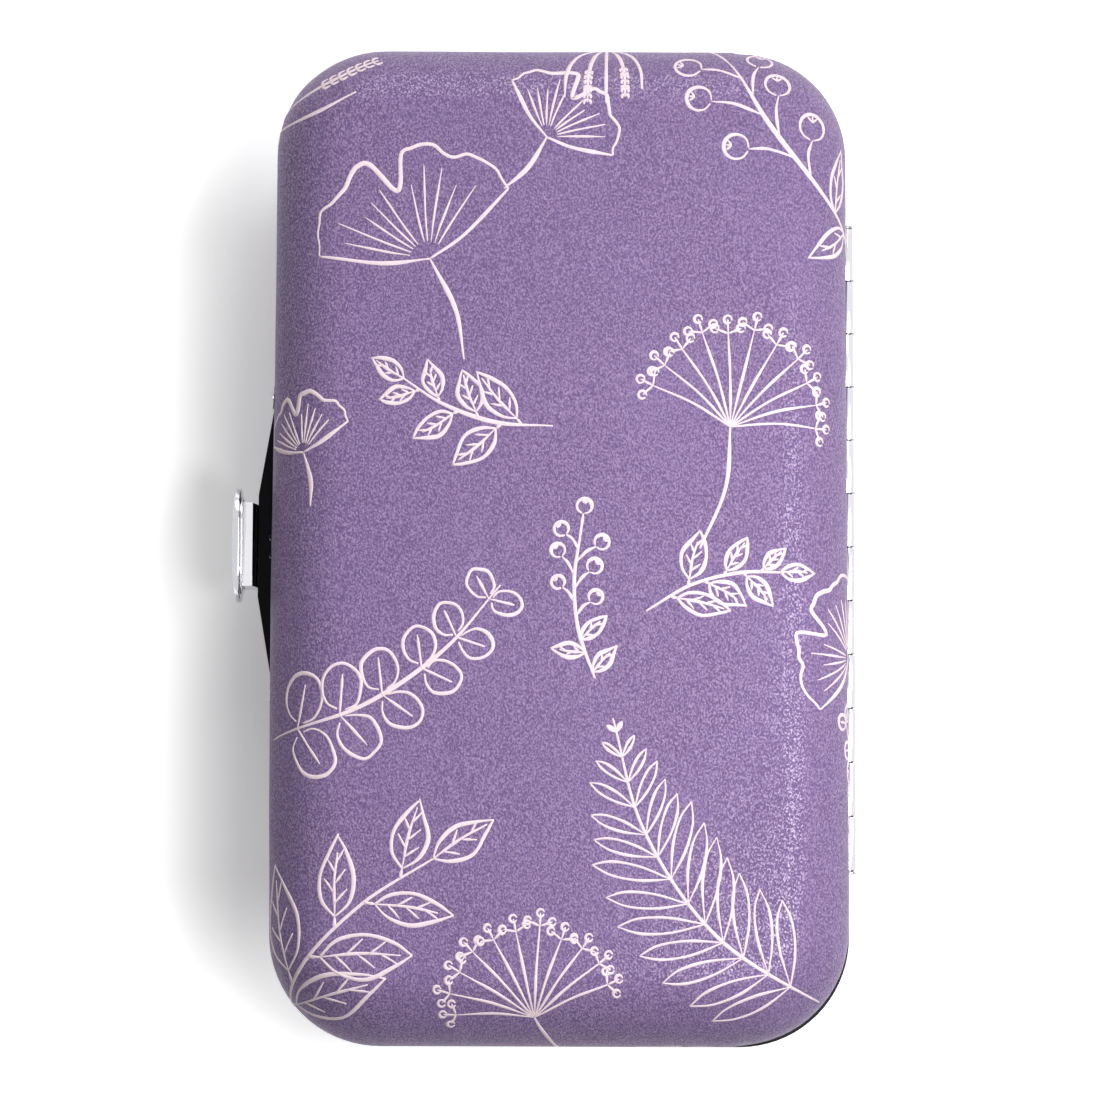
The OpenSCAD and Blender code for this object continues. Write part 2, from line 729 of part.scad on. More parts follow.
// A point on the curve through the control points p, the curve's way there, and the point beside it
function bend(p, t) =
  let (u = 1 - t) u * u * u * p[0] + 3 * t * u * u * p[1] + 3 * t * t * u * p[2] + t * t * t * p[3];
function bend_way(p, t) =
  let (u = 1 - t) u * u * (p[1] - p[0]) + 2 * t * u * (p[2] - p[1]) + t * t * (p[3] - p[2]);
function beside(p, t, d) = let (v = bend_way(p, t)) bend(p, t) + d * [-v[1], v[0]] / norm(v);

// A band along the curve p whose width goes from w0 to w1
module band(p, w0, w1, steps = 14) {
  half_w = function (t) (w0 + (w1 - w0) * t) / 2;
  polygon(concat(
    [for (i = [0 : steps]) let (t = i / steps) beside(p, t, half_w(t))],
    [for (i = [steps : -1 : 0]) let (t = i / steps) beside(p, t, -half_w(t))]
  ));
}

// One half of the scissors in plan: ring side on the left below, blade on the right above
module scissor_half_plan() {
  ring_angle = 62; // where the shank leaves the ring
  shank_y = ring_y - pivot_y + ring_major * sin(ring_angle);
  start = [ring_major * cos(ring_angle) - ring_x, shank_y];
  band([start - [0.6, 1.2], start + [2.2, 6], [-3.4, -15], [-0.4, 0]], 3.4, 5);
  circle(blade_root_r);
  back = [[4.2, -0.6], [4.3, blade_l * 0.3], [3.2, blade_l * 0.75], [0.5, blade_l]];
  edge = [[-0.1, blade_l - 0.3], [-0.9, 4.6], [-3.6, 2.2], [0, -2]];
  steps = 12;
  polygon(concat([for (i = [0 : steps]) bend(back, i / steps)], edge));
}

module at_scissors() {
  translate([scissors_x, pivot_y, scissors_z]) children();
}

module scissor_half() {
  difference() {
    union() {
      linear_extrude(blade_t) scissor_half_plan();
      translate([-ring_x, ring_y - pivot_y, ring_t / 2])
        rotate_extrude() translate([ring_major, 0]) circle(ring_t / 2, $fn = 32);
    }
    translate([0, 0, -cut]) cylinder(r = screw_r + screw_clear, h = blade_t + 2 * cut);
  }
}

module scissor_blade_left() {
  color([0.82, 0.83, 0.85]) at_scissors() scissor_half();
}

module scissor_blade_right() {
  color([0.82, 0.83, 0.85]) at_scissors()
    translate([0, 0, 2 * blade_t + blade_gap]) rotate([0, 180, 0]) scissor_half();
}

// Slotted screw through both blades, riveted over at the back
module scissor_screw() {
  tail_z = -screw_tail_t - screw_gap;
  head_z = 2 * blade_t + blade_gap + screw_gap;
  slot_w = 0.6;
  slot_depth = 0.35;
  color([0.7, 0.71, 0.74]) at_scissors() difference() {
    union() {
      translate([0, 0, tail_z]) cylinder(r = screw_tail_r, h = screw_tail_t);
      translate([0, 0, tail_z]) cylinder(r = screw_r, h = head_z + screw_head_t / 2 - tail_z);
      translate([0, 0, head_z]) cylinder(r1 = screw_head_r, r2 = screw_head_r - 0.5, h = screw_head_t);
    }
    translate([-screw_head_r, -slot_w / 2, head_z + screw_head_t - slot_depth])
      cube([2 * screw_head_r, slot_w, 1]);
  }
}

// Plan of the tweezers, widened all round by room: rounded tail, widest at the grip, slanted tips
module tweezers_plan(room = 0) {
  w = tweezers_w / 2 + room;
  n = tweezer_nose + room;
  l = tweezers_l + room;
  grip = [tweezers_l * 0.42, tweezers_l * 0.5];
  tail = [[2.6 + room, 3], [2 + room, 1 - room]];
  polygon([
    [-tail[0].x, tail[0].y], [-tail[1].x, tail[1].y], [0, -room], tail[1], tail[0],
    [w, grip[0]], [w, grip[1]], [n, l - 1], [n - 0.4, l], [0.4 - n, l], [-n, l - 2.4],
    [-w, grip[1]], [-w, grip[0]]
  ]);
}

// Side view of the lower arm: joined at the tail, bowed away at the grip, closed at the tips
module tweezer_arm_side() {
  l = tweezers_l;
  m = tweezer_open / 2;
  t = tweezer_t;
  tail_z = m + t - tweezer_tail_gap / 2;
  polygon([
    [0, m], [8, m], [l * 0.22, m * 0.45], [l * 0.42, 0], [l * 0.62, m * 0.25], [l - 3, m - 0.2], [l, m],
    [l, m + t * 0.75], [l - 3.4, m + t * 0.7], [l * 0.62, m * 0.25 + t], [l * 0.42, t],
    [l * 0.22, m * 0.45 + t], [8, tail_z], [0, tail_z]
  ]);
}

module tweezer_arm() {
  intersection() {
    translate([-tweezers_w, 0, 0]) rotate([90, 0, 90]) linear_extrude(2 * tweezers_w) tweezer_arm_side();
    linear_extrude(case_height) tweezers_plan();
  }
}

module at_tweezers() {
  translate([tweezers_x, tweezers_y, tweezers_z]) children();
}

module tweezer_lower_arm() { color([0.8, 0.81, 0.83]) at_tweezers() tweezer_arm(); }
module tweezer_upper_arm() {
  color([0.8, 0.81, 0.83]) at_tweezers()
    translate([0, 0, tweezer_open + 2 * tweezer_t]) mirror([0, 0, 1]) tweezer_arm();
}

module at_file() {
  translate([file_x, file_y, file_z]) children();
}

// The file's tang inside the handle, widened all round by room
module tang_plan(room = 0) {
  w = tang_w / 2 + room;
  translate([-w, tang_y - room]) square([2 * w, file_handle_l + 2 - tang_y + room]);
}

// File blade with a pointed end
module nail_file() {
  w = file_w * 0.4;
  color([0.75, 0.76, 0.78]) at_file() linear_extrude(file_t) {
    tang_plan();
    polygon([
      [-w, file_handle_l + 1], [w, file_handle_l + 1], [w, file_l - 12], [0.7, file_l - 0.6], [0, file_l],
      [-0.7, file_l - 0.6], [-w, file_l - 12]
    ]);
  }
}

module nail_file_handle() {
  w = file_w / 2;
  color([0.55, 0.46, 0.66]) at_file() translate([0, 0, (file_t - file_handle_t) / 2]) difference() {
    linear_extrude(file_handle_t) {
      translate([-w, w]) square([file_w, file_handle_l - w]);
      translate([0, w]) circle(w);
    }
    translate([0, 0, (file_handle_t - file_t) / 2 - tang_clear])
      linear_extrude(file_t + 2 * tang_clear) tang_plan(tang_clear);
  }
}

// Round handle with a spade at one end and a pointed cleaner at the other
module cuticle_pusher() {
  r = pusher_d / 2;
  neck = pusher_neck_r;
  y0 = (pusher_l - pusher_handle_l) / 2;
  y1 = y0 + pusher_handle_l;
  w = spade_w / 2;
  color([0.8, 0.81, 0.83]) translate([pusher_x, pusher_y, pusher_z + r]) {
    rotate([-90, 0, 0]) rotate_extrude() polygon([
      [0, 6], [1, 6], [neck, y0 - 6], [r * 0.8, y0 - 1], [r, y0], [r, y1], [r * 0.8, y1 + 1],
      [neck, y1 + 6], [0.4, pusher_l - 4], [0, pusher_l - 3]
    ]);
    translate([0, 0, -spade_t / 2]) linear_extrude(spade_t)
      polygon([[-1, 12], [-w, 7], [-w, 2.5], [-1.2, 0.6], [1.2, 0.6], [w, 2.5], [w, 7], [1, 12]]);
  }
}

// Recess for a straight tool: a slot with rounded ends that opens at the tray's top
module slot_recess(x, y, l, w, z, r) {
  slot_l = l + 2 * tool_gap;
  slot_w = w + 2 * tool_gap;
  translate([x, y - tool_gap, z]) linear_extrude(half) {
    translate([-slot_w / 2, r]) square([slot_w, slot_l - 2 * r]);
    translate([r - slot_w / 2, 0]) square([slot_w - 2 * r, slot_l]);
    for (s = [-1, 1], v = [r, slot_l - r]) translate([s * (slot_w / 2 - r), v]) circle(r);
  }
}

// Recess that follows the scissors' outline: two rings, the shanks and the closed blades
module scissors_recess() {
  r = ring_recess_r;
  w = blade_root_r + tool_gap;
  neck_y = pivot_y - 7;
  tip_y = pivot_y + blade_l + tool_gap;
  floor_z = scissors_z - screw_gap - screw_tail_t - layer_gap;
  translate([scissors_x, 0, floor_z]) linear_extrude(half) {
    for (s = [-1, 1]) translate([s * ring_x, ring_y]) circle(r);
    polygon([
      [-ring_x - 1, ring_y], [ring_x + 1, ring_y], [ring_x - 0.5, ring_y + r - 0.5], [w + 1, neck_y],
      [-w - 1, neck_y], [0.5 - ring_x, ring_y + r - 0.5]
    ]);
    polygon([
      [w, neck_y - 9], [w + 0.4, pivot_y + 5], [2, tip_y], [-2, tip_y], [-w - 0.4, pivot_y + 5],
      [-w, neck_y - 9]
    ]);
    translate([0, pivot_y]) circle(pivot_recess_r);
  }
}

module tray_recesses() {
  clipper_floor_z = clipper_z - 2 * post_gap - post_foot_t;
  file_floor_z = file_z + (file_t - file_handle_t) / 2 - layer_gap;
  slot_recess(clipper_x, clipper_y, clipper_l, clipper_w, clipper_floor_z, 1);
  slot_recess(file_x, file_y, file_l, file_w, file_floor_z, 3);
  slot_recess(pusher_x, pusher_y, pusher_l, pusher_d, pusher_z - layer_gap, 2);
  translate([tweezers_x, tweezers_y, tweezers_z - layer_gap])
    linear_extrude(half) tweezers_plan(tweezer_room);
  scissors_recess();
}

// Finger trough across the tweezers, the file and the pusher
module finger_trough() {
  x0 = tweezers_x - tweezers_w;
  x1 = pusher_x + pusher_d / 2 + tool_gap;
  translate([x0, trough_y, tray_top + trough_r - trough_depth])
    rotate([0, 90, 0]) cylinder(r = trough_r, h = x1 - x0);
}

// Flocked tray that fills the base, with a recess for each tool and room for the clasp's hook
module tool_tray() {
  r = edge_r + tray_foot_in;
  foot = [case_width - 2 * r, case_length - 2 * r, edge_r - tray_foot_z];
  hook_room = hook_x + hook_t + press_travel + notch_gap;
  color([0.1, 0.09, 0.11]) difference() {
    union() {
      block(tray_in, tray_top);
      translate([0, 0, tray_foot_z + foot.z / 2]) cube(foot, center = true);
    }
    tray_recesses();
    finger_trough();
    translate([-side_x, -notch_w / 2, notch_z]) cube([hook_room + side_x, notch_w, half]);
    for (s = [-1, 1]) translate([-tray_side_x - cut, s * strip_rivet_y, strip_mid_z])
      rotate([0, 90, 0]) cylinder(r = rivet_head_r + notch_gap, h = cut + rivet_head_t + notch_gap);
  }
}

base_cover();
base_padding();
base_shell();
base_frame();
tool_tray();
base_hinge_leaf();
hinge_pin();
latch_spring();
latch_spring_rivets();
lid_cover();
lid_padding();
lid_shell();
lid_frame();
lid_lining();
lid_hinge_leaf();
lid_catch();
lid_catch_rivets();
thumb_plate();
thumb_backing();
latch_bracket();
latch_hook();
latch_rivets();
clipper_lower_arm();
clipper_upper_arm();
clipper_lever();
clipper_post();
scissor_blade_left();
scissor_blade_right();
scissor_screw();
tweezer_lower_arm();
tweezer_upper_arm();
nail_file();
nail_file_handle();
cuticle_pusher();
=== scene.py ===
"""Looks of the manicure set case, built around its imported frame.

Everything is in metres, in the frame's axes, unless a comment says otherwise.
"""
import json
import math

import bmesh
import bpy
import numpy as np
from mathutils import Euler, Matrix, Vector


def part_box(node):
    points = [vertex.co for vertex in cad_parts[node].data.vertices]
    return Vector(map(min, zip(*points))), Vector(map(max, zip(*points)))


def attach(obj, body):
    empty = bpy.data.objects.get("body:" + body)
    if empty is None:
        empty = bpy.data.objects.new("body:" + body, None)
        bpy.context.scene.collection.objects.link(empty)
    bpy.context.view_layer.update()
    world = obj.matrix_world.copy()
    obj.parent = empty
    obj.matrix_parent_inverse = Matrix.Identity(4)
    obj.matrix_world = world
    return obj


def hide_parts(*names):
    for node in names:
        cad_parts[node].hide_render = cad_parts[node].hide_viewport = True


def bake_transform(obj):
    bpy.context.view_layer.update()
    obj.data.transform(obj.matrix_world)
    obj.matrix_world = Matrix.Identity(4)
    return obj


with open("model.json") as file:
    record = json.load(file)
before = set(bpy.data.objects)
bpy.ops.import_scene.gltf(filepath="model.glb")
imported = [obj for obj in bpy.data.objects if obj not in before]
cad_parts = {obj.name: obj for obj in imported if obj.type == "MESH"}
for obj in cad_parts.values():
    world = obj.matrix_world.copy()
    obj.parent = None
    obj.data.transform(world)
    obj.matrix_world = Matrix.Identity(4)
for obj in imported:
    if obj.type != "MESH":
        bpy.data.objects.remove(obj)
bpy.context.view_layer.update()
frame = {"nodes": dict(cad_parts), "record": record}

MM = 0.001

# Sizes of the case, read from the frame where a node gives them
SIDE_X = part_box("lid_cover")[1].x
END_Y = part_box("lid_cover")[1].y
TOP_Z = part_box("lid_cover")[1].z
LID_RIM_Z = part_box("lid_cover")[0].z
BASE_RIM_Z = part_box("base_cover")[1].z
CORNER_R = 13 * MM
EDGE_R = 8.5 * MM
FLAT_R = CORNER_R - EDGE_R
ARC_L = EDGE_R * math.pi / 2
CORE_X = SIDE_X - CORNER_R
CORE_Y = END_Y - CORNER_R

# The soft layers: how far in from the outside each begins, and how thick it is
LEATHER_T = 0.8 * MM
FOAM_IN = 0.85 * MM
FOAM_T = 1.0 * MM
LINING_IN = 2.6 * MM
LINING_T = 0.7 * MM

# How finely a layer is meshed: its grid, and the steps round a corner and along its section
COVER_GRID = 1.0 * MM
FOAM_GRID = 2 * MM
CORNER_STEPS = 16
FLAT_STEPS = 3
ARC_STEPS = 14
WALL_STEPS = 5
ROLL_ANGLES = (30, 60, 90)

# How the padding lifts the leather's face and walls, and how its rim is rolled and worn
CROWN = 0.8 * MM
WOBBLE = 0.04 * MM
WALL_WOBBLE = 0.8 * WOBBLE
WALL_BULGE = 0.1 * MM
BULGE_FROM = 2.5 * MM
RIM_ROLL = 0.35 * MM
WEAR_REACH = 0.9 * MM

# How the long walls swell along Y: the middle and spread, and how far the right one is hollowed
SIDE_SWELL = 0.3 * MM
LEFT_SWELL = (-13 * MM, 26 * MM)
RIGHT_SWELL = (-22 * MM, 24 * MM)
RIGHT_SHARE = 0.25
RIGHT_HOLLOW = 0.7

# The one corner that is drawn in: how far, from which depth, and over what distance it sets in
CORNER_DRAW = 0.3 * MM
DRAW_FROM = 4 * MM
DRAW_OVER = 5 * MM

# How the lining sags, and how it is pleated at its corners
LINING_ROLL = 0.25 * MM
LINING_SAG = 0.3 * MM
LINING_WOBBLE = 0.09 * MM
PLEAT = 0.12 * MM
PLEAT_REACH = 11 * MM
PLEATS_PER_TURN = 14

# The print: how thick the ink is, how far it is let in and how far down the wall it goes. A
# stroke's half width and the wave of its edges are shares of the width that its motif gives it.
INK_T = 0.03 * MM
INK_SUNK = 0.03 * MM
PRINT_ON_WALL = 2.0 * MM
STROKE_HALF = 0.52
STROKE_WAVE = 0.16

# Where the leather and the foam stop short of the hinge, of the clasp's hook and of its strip
HINGE_HALF = 39.8 * MM
HINGE_CUT = 0.47 * MM
HOOK_HALF = 2.3 * MM
HOOK_CUT = 0.75 * MM
STRIP_HALF = 18.5 * MM
STRIP_CUT = 1.4 * MM
STRIP_CUT_EDGE = 1.0 * MM
CUT_EDGE = 0.12 * MM

# The clasp's strip: how far apart the cuts across it are, and how wide its edges are broken
STRIP_STEP = 0.7 * MM
STRIP_BREAK = 0.07 * MM

# The CAD meshes that are finished: what is welded, what counts as flat, and what is an edge
WELD = 1e-7
FLAT_ANGLE = math.radians(0.6)
EDGE_ANGLE = math.radians(34)
EDGE_SEGMENTS = 3

# The tray's remeshing: its grid, and how often it is smoothed
TRAY_GRID = 0.5 * MM
TRAY_SMOOTHING = 6

# The camera, fitted to the photograph: the picture's width and the focal length in pixels,
# the sensor in millimetres, the distance from the aim, and the tilt and roll in degrees
PHOTO_PX = 1100
FOCAL_PX = 4176
SENSOR_MM = 36.0
CAMERA_AIM = (-1.33 * MM, -1.05 * MM, 18 * MM)
CAMERA_DISTANCE = 0.50
CAMERA_TILT = 6.3
CAMERA_ROLL = 0.18

# Studio lamps: name, compass angle from +X, height angle, distance, size, share of the lid's light
LAMPS = [
    ("key", 0, 55, 0.17, 0.1, 0.545),
    ("top", 90, 30, 0.36, 0.25, 0.23),
    ("kicker_low", -52, 67.5, 0.215, 0.06, 0.22),
    ("kicker_high", -33, 61, 0.23, 0.07, 0.15),
]
WORLD_SHARE = 0.1
FLOOR_HALF = 12.0
FLOOR_Z = -0.06 * MM
FLOOR_PALE = 0.9
FLOOR_LIFT = 0.32
# Painted light on the floor, where its white lift rises around the case and far off, washing out
# the shadow: axis, start and end in millimetres, rise
FLOOR_PAINTED_LIGHT = [("X", 43, 54, 0.27), ("Y", 38, 60, 0.45), ("X", 90, 400, 0.3), ("Y", 90, 400, 0.3)]

# Colours from 0 to 255, as they show under the studio light
PURPLE = (175, 149, 189)
PURPLE_CREASE_SHADE = (99, 79, 118)
PURPLE_BROAD = (142, 122, 174)
PURPLE_COOL = (134, 118, 174)
PURPLE_WARM = (152, 122, 164)
PURPLE_WORN = (154, 132, 175)
PURPLE_GLOSS = (186, 160, 212)
PINK = (252, 234, 243)
PINK_DULL = (248, 224, 230)
FOAM_TONES = (201, 196, 180), (228, 225, 212)
SHELL_TONES = (58, 58, 62), (80, 80, 84)
ENAMEL_TONES = (7, 6, 9), (20, 18, 23)
PLASTIC_TONES = (131, 110, 158), (145, 123, 170)
# The colour of the painted shade in the metal's crevices, gaps and contacts
CREVICE_PAINTED_SHADE = (26, 25, 28)

# The leatherette's grain: its pebbles, the lumps on them, the warp that makes them uneven, how
# they are drawn out, and how deep they are, bare and under the print
PEBBLE = 0.25 * MM
LUMP = 0.2 * MM
WARP_SIZE = 0.7 * MM
WARP_REACH = 0.35 * MM
GRAIN_STRETCH = (1, 0.75, 1)
GRAIN_DEPTH = 0.06 * MM
PRINTED_DEPTH = 0.04 * MM

# The Mix node's sockets for colours, which share their names with those of its other types
MIX_FACTOR, MIX_A, MIX_B, MIX_RESULT = 0, 6, 7, 2


def srgb(rgb):
    """A colour given as 0 to 255 per channel, as the shaders want it."""
    shares = [v / 255 for v in rgb]
    linear = [c / 12.92 if c <= 0.04045 else ((c + 0.055) / 1.055) ** 2.4 for c in shares]
    return (*linear, 1.0)


class Shader:
    """A material that is built node by node, with the principled shader at its end."""

    def __init__(self, name):
        self.material = bpy.data.materials.new(name)
        self.material.use_nodes = True
        self.tree = self.material.node_tree
        self.tree.nodes.clear()
        self.output = self.tree.nodes.new("ShaderNodeOutputMaterial")
        self.surface = self.tree.nodes.new("ShaderNodeBsdfPrincipled")
        self.tree.links.new(self.surface.outputs[0], self.output.inputs["Surface"])
        self.coords = self.tree.nodes.new("ShaderNodeTexCoord").outputs["Object"]

    def put(self, socket, value):
        """Links a socket to another node's output, or sets its plain value."""
        if isinstance(value, bpy.types.NodeSocket):
            self.tree.links.new(value, socket)
        else:
            socket.default_value = value

    def node(self, kind, inputs, **settings):
        made = self.tree.nodes.new("ShaderNode" + kind)
        for key, value in settings.items():
            setattr(made, key, value)
        for key, value in inputs.items():
            self.put(made.inputs[key], value)
        return made

    def set(self, **values):
        for key, value in values.items():
            self.put(self.surface.inputs[key.replace("_", " ")], value)

    def stretch(self, scale, vector=None):
        """Coordinates whose textures are drawn out along the axes with small factors."""
        return self.node("Mapping", {"Vector": vector or self.coords, "Scale": scale}).outputs[0]

    def noise(self, size, detail=3.0, roughness=0.55, vector=None):
        """Noise whose grains are about size across."""
        inputs = {"Scale": 1 / size, "Detail": detail, "Roughness": roughness}
        return self.node("TexNoise", {"Vector": vector or self.coords, **inputs}).outputs[0]

    def cells(self, size, vector=None):
        """Distance from the middles of cells that are about size across."""
        inputs = {"Vector": vector or self.coords, "Scale": 1 / size}
        return self.node("TexVoronoi", inputs).outputs[0]

    def attribute(self, name):
        return self.node("Attribute", {}, attribute_name=name).outputs["Fac"]

    def ramp(self, source, start, end):
        """A straight ramp over a source, between two stops of (the source's value, level)."""
        made = self.node("ValToRGB", {"Fac": source})
        for element, (place, level) in zip(made.color_ramp.elements, (start, end)):
            element.position = place
            element.color = (level, level, level, 1)
        return made.outputs[0]

    def math(self, operation, a, b=0.0, c=0.0):
        return self.node("Math", {0: a, 1: b, 2: c}, operation=operation).outputs[0]

    def mix(self, factor, a, b):
        inputs = {MIX_FACTOR: factor, MIX_A: a, MIX_B: b}
        return self.node("Mix", inputs, data_type="RGBA").outputs[MIX_RESULT]

    def bump(self, height, depth, strength=1.0):
        inputs = {"Height": height, "Distance": depth, "Strength": strength}
        self.set(Normal=self.node("Bump", inputs).outputs[0])


def grain_height(shader):
    """Height of the leatherette's fine pebbles, from 0 to 1, with creases between them."""
    inputs = {"Vector": shader.coords, "Scale": 1 / WARP_SIZE, "Detail": 2}
    warp = shader.node("TexNoise", inputs).outputs["Color"]
    moved = shader.node("VectorMath", {0: warp, 1: (WARP_REACH,) * 3}, operation="MULTIPLY")
    place = shader.node("VectorMath", {0: shader.coords, 1: moved.outputs[0]}, operation="ADD")
    drawn = shader.stretch(GRAIN_STRETCH, place.outputs[0])
    domes = shader.ramp(shader.cells(PEBBLE, drawn), (0.05, 1.0), (0.75, 0.0))
    tops = shader.ramp(shader.noise(LUMP, 1, 0.4, drawn), (0.35, 0.0), (0.65, 1.0))
    return shader.math("MULTIPLY_ADD", tops, 0.5, shader.math("MULTIPLY", domes, 0.5))


def leatherette():
    s = Shader("leatherette")
    height = grain_height(s)
    broad = s.ramp(s.noise(14 * MM, 2), (0.35, 0.0), (0.7, 1.0))
    mottle = s.noise(0.3 * MM, 2, 0.5)
    # The colour darkens into the grain's creases and lightens on the pebble tops: partly the
    # grain's own tone, partly painted shade in the creases and painted light on the tops
    body = s.mix(s.ramp(height, (0.2, 0.0), (0.85, 1.0)), srgb(PURPLE_CREASE_SHADE), srgb(PURPLE))
    body = s.mix(s.math("MULTIPLY", broad, 0.15), body, srgb(PURPLE_BROAD))
    warmth = s.ramp(mottle, (0.42, 0.0), (0.6, 1.0))
    body = s.mix(0.25, body, s.mix(warmth, srgb(PURPLE_COOL), srgb(PURPLE_WARM)))
    worn = s.math("MULTIPLY", s.attribute("wear"), s.ramp(mottle, (0.35, 0.0), (0.6, 0.6)))
    body = s.mix(worn, body, srgb(PURPLE_WORN))
    s.set(Base_Color=body, Roughness=s.ramp(height, (0.2, 0.5), (0.85, 0.38)))
    s.set(Specular_IOR_Level=0.3, Specular_Tint=srgb(PURPLE_GLOSS))
    # The faces are polished by handling, the sides much less
    normal = s.node("TexCoord", {}).outputs["Normal"]
    upright = s.node("SeparateXYZ", {"Vector": normal}).outputs["Z"]
    handled = s.ramp(s.math("ABSOLUTE", upright), (0.5, 0.1), (0.92, 1.0))
    polish = s.math("MULTIPLY", handled, s.ramp(height, (0.46, 0.0), (0.74, 1.0)))
    s.set(Coat_Weight=polish, Coat_Roughness=0.22)
    s.bump(height, GRAIN_DEPTH)
    return s.material


def print_ink():
    s = Shader("print")
    height = grain_height(s)
    dull = s.ramp(s.noise(0.5 * MM, 4), (0.35, 0.0), (0.65, 1.0))
    s.set(Base_Color=s.mix(dull, srgb(PINK), srgb(PINK_DULL)), Specular_IOR_Level=0.4)
    s.set(Roughness=s.ramp(s.noise(0.3 * MM), (0.3, 0.45), (0.7, 0.6)))
    s.bump(height, PRINTED_DEPTH, 0.4)
    return s.material


def foam():
    s = Shader("foam")
    cells = s.cells(0.35 * MM)
    s.set(Base_Color=s.mix(s.ramp(cells, (0.1, 0.0), (0.5, 1.0)), *map(srgb, FOAM_TONES)))
    s.set(Roughness=s.ramp(s.noise(1 * MM), (0.3, 0.85), (0.7, 0.95)))
    s.bump(cells, 0.1 * MM, 0.6)
    return s.material


def pressed_shell():
    s = Shader("shell")
    haze = s.noise(6 * MM, 4)
    s.set(Base_Color=s.mix(haze, *map(srgb, SHELL_TONES)))
    s.set(Roughness=s.ramp(haze, (0.3, 0.45), (0.7, 0.6)))
    s.bump(s.noise(0.3 * MM), 0.02 * MM, 0.3)
    return s.material


def black_enamel():
    s = Shader("black_enamel")
    specks = s.ramp(s.noise(0.35 * MM, 3), (0.62, 0.0), (0.75, 1.0))
    haze = s.noise(9 * MM, 3)
    s.set(Base_Color=s.mix(specks, *map(srgb, ENAMEL_TONES)), Specular_IOR_Level=0.06)
    s.set(Roughness=s.ramp(haze, (0.3, 0.2), (0.7, 0.34)))
    s.bump(s.noise(0.8 * MM, 2), 0.01 * MM, 0.25)
    return s.material


def velvet(name, deep, raised, pile):
    """Short pile: nap streaks, a soft sheen and a grain of the pile's own size."""
    s = Shader(name)
    nap = s.noise(9 * MM, 2)
    fibres = s.noise(pile, 3, 0.6)
    shade = s.math("MULTIPLY_ADD", nap, 0.3, s.math("MULTIPLY", fibres, 0.7))
    s.set(Base_Color=s.mix(s.ramp(shade, (0.36, 0.0), (0.64, 1.0)), srgb(deep), srgb(raised)))
    s.set(Roughness=s.ramp(fibres, (0.3, 0.85), (0.7, 0.98)), Specular_IOR_Level=0.2)
    s.set(Sheen_Weight=0.5, Sheen_Roughness=0.35, Sheen_Tint=srgb(raised))
    s.bump(fibres, 0.12 * MM, 0.7)
    return s.material


def metal(name, tone, roughness, scratches, grain=(1, 1, 1)):
    """Metal whose fine grain is stretched along the axis with the smallest factor, and whose colour
    is darkened by painted shade in its crevices.
    """
    s = Shader(name)
    brushed = s.noise(0.12 * MM, 4, 0.6, s.stretch(grain))
    smears = s.noise(5 * MM, 3)
    low, high = roughness
    smeared = srgb(tuple(c * 0.97 for c in tone))
    body = s.mix(s.ramp(smears, (0.3, 0.0), (0.7, 1.0)), srgb(tone), smeared)
    # Painted shade: where ambient occlusion finds the metal hemmed in, in gaps and under other
    # parts, its colour darkens towards the crevice shade
    open_share = s.node("AmbientOcclusion", {"Distance": 0.7 * MM}, samples=8).outputs["AO"]
    body = s.mix(s.ramp(open_share, (0.15, 1.0), (0.6, 0.0)), body, srgb(CREVICE_PAINTED_SHADE))
    s.set(Base_Color=body, Metallic=1.0)
    s.set(Roughness=s.math("MULTIPLY_ADD", s.math("ADD", brushed, smears), (high - low) / 2, low))
    s.bump(brushed, 0.004 * MM, scratches)
    return s.material


def purple_plastic():
    s = Shader("purple_plastic")
    cloud = s.noise(5 * MM, 3)
    s.set(Base_Color=s.mix(s.ramp(cloud, (0.3, 0.0), (0.7, 1.0)), *map(srgb, PLASTIC_TONES)))
    s.set(Roughness=s.ramp(cloud, (0.3, 0.28), (0.7, 0.4)), Specular_IOR_Level=0.5)
    s.bump(s.noise(0.4 * MM), 0.01 * MM, 0.3)
    return s.material


SLOT_MATERIALS = {
    "leatherette": leatherette(),
    "print": print_ink(),
    "foam": foam(),
    "shell": pressed_shell(),
    "black_enamel": black_enamel(),
    "velvet": velvet("velvet", deep=(24, 20, 30), raised=(58, 50, 70), pile=0.3 * MM),
    "flock": velvet("flock", deep=(26, 23, 30), raised=(52, 47, 60), pile=0.22 * MM),
    "chrome": metal("chrome", (238, 238, 242), roughness=(0.03, 0.12), scratches=0.08),
    "steel": metal("steel", (184, 186, 192), roughness=(0.12, 0.28), scratches=0.2),
    "tool_steel": metal("tool_steel", (204, 205, 210), roughness=(0.08, 0.22), scratches=0.25,
                        grain=(1, 0.04, 1)),
    "purple_plastic": purple_plastic(),
}


def show(name, data):
    """A new object with this data, in the scene."""
    shown = bpy.data.objects.new(name, data)
    bpy.context.scene.collection.objects.link(shown)
    return shown


def dress(mesh, slot):
    """The slot's material on a mesh, in place of any that it has."""
    mesh.materials.clear()
    mesh.materials.append(SLOT_MATERIALS[slot])


def shade_smooth(mesh):
    mesh.polygons.foreach_set("use_smooth", [True] * len(mesh.polygons))


def add_piece(name, points, faces, slot, body):
    """A closed mesh that rides on a body, with its outward side worked out."""
    mesh = bpy.data.meshes.new(name)
    mesh.from_pydata([tuple(p) for p in points], [], faces)
    bm = bmesh.new()
    bm.from_mesh(mesh)
    bmesh.ops.recalc_face_normals(bm, faces=bm.faces)
    bm.to_mesh(mesh)
    bm.free()
    shade_smooth(mesh)
    piece = show(name, mesh)
    dress(mesh, slot)
    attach(piece, body)
    return piece


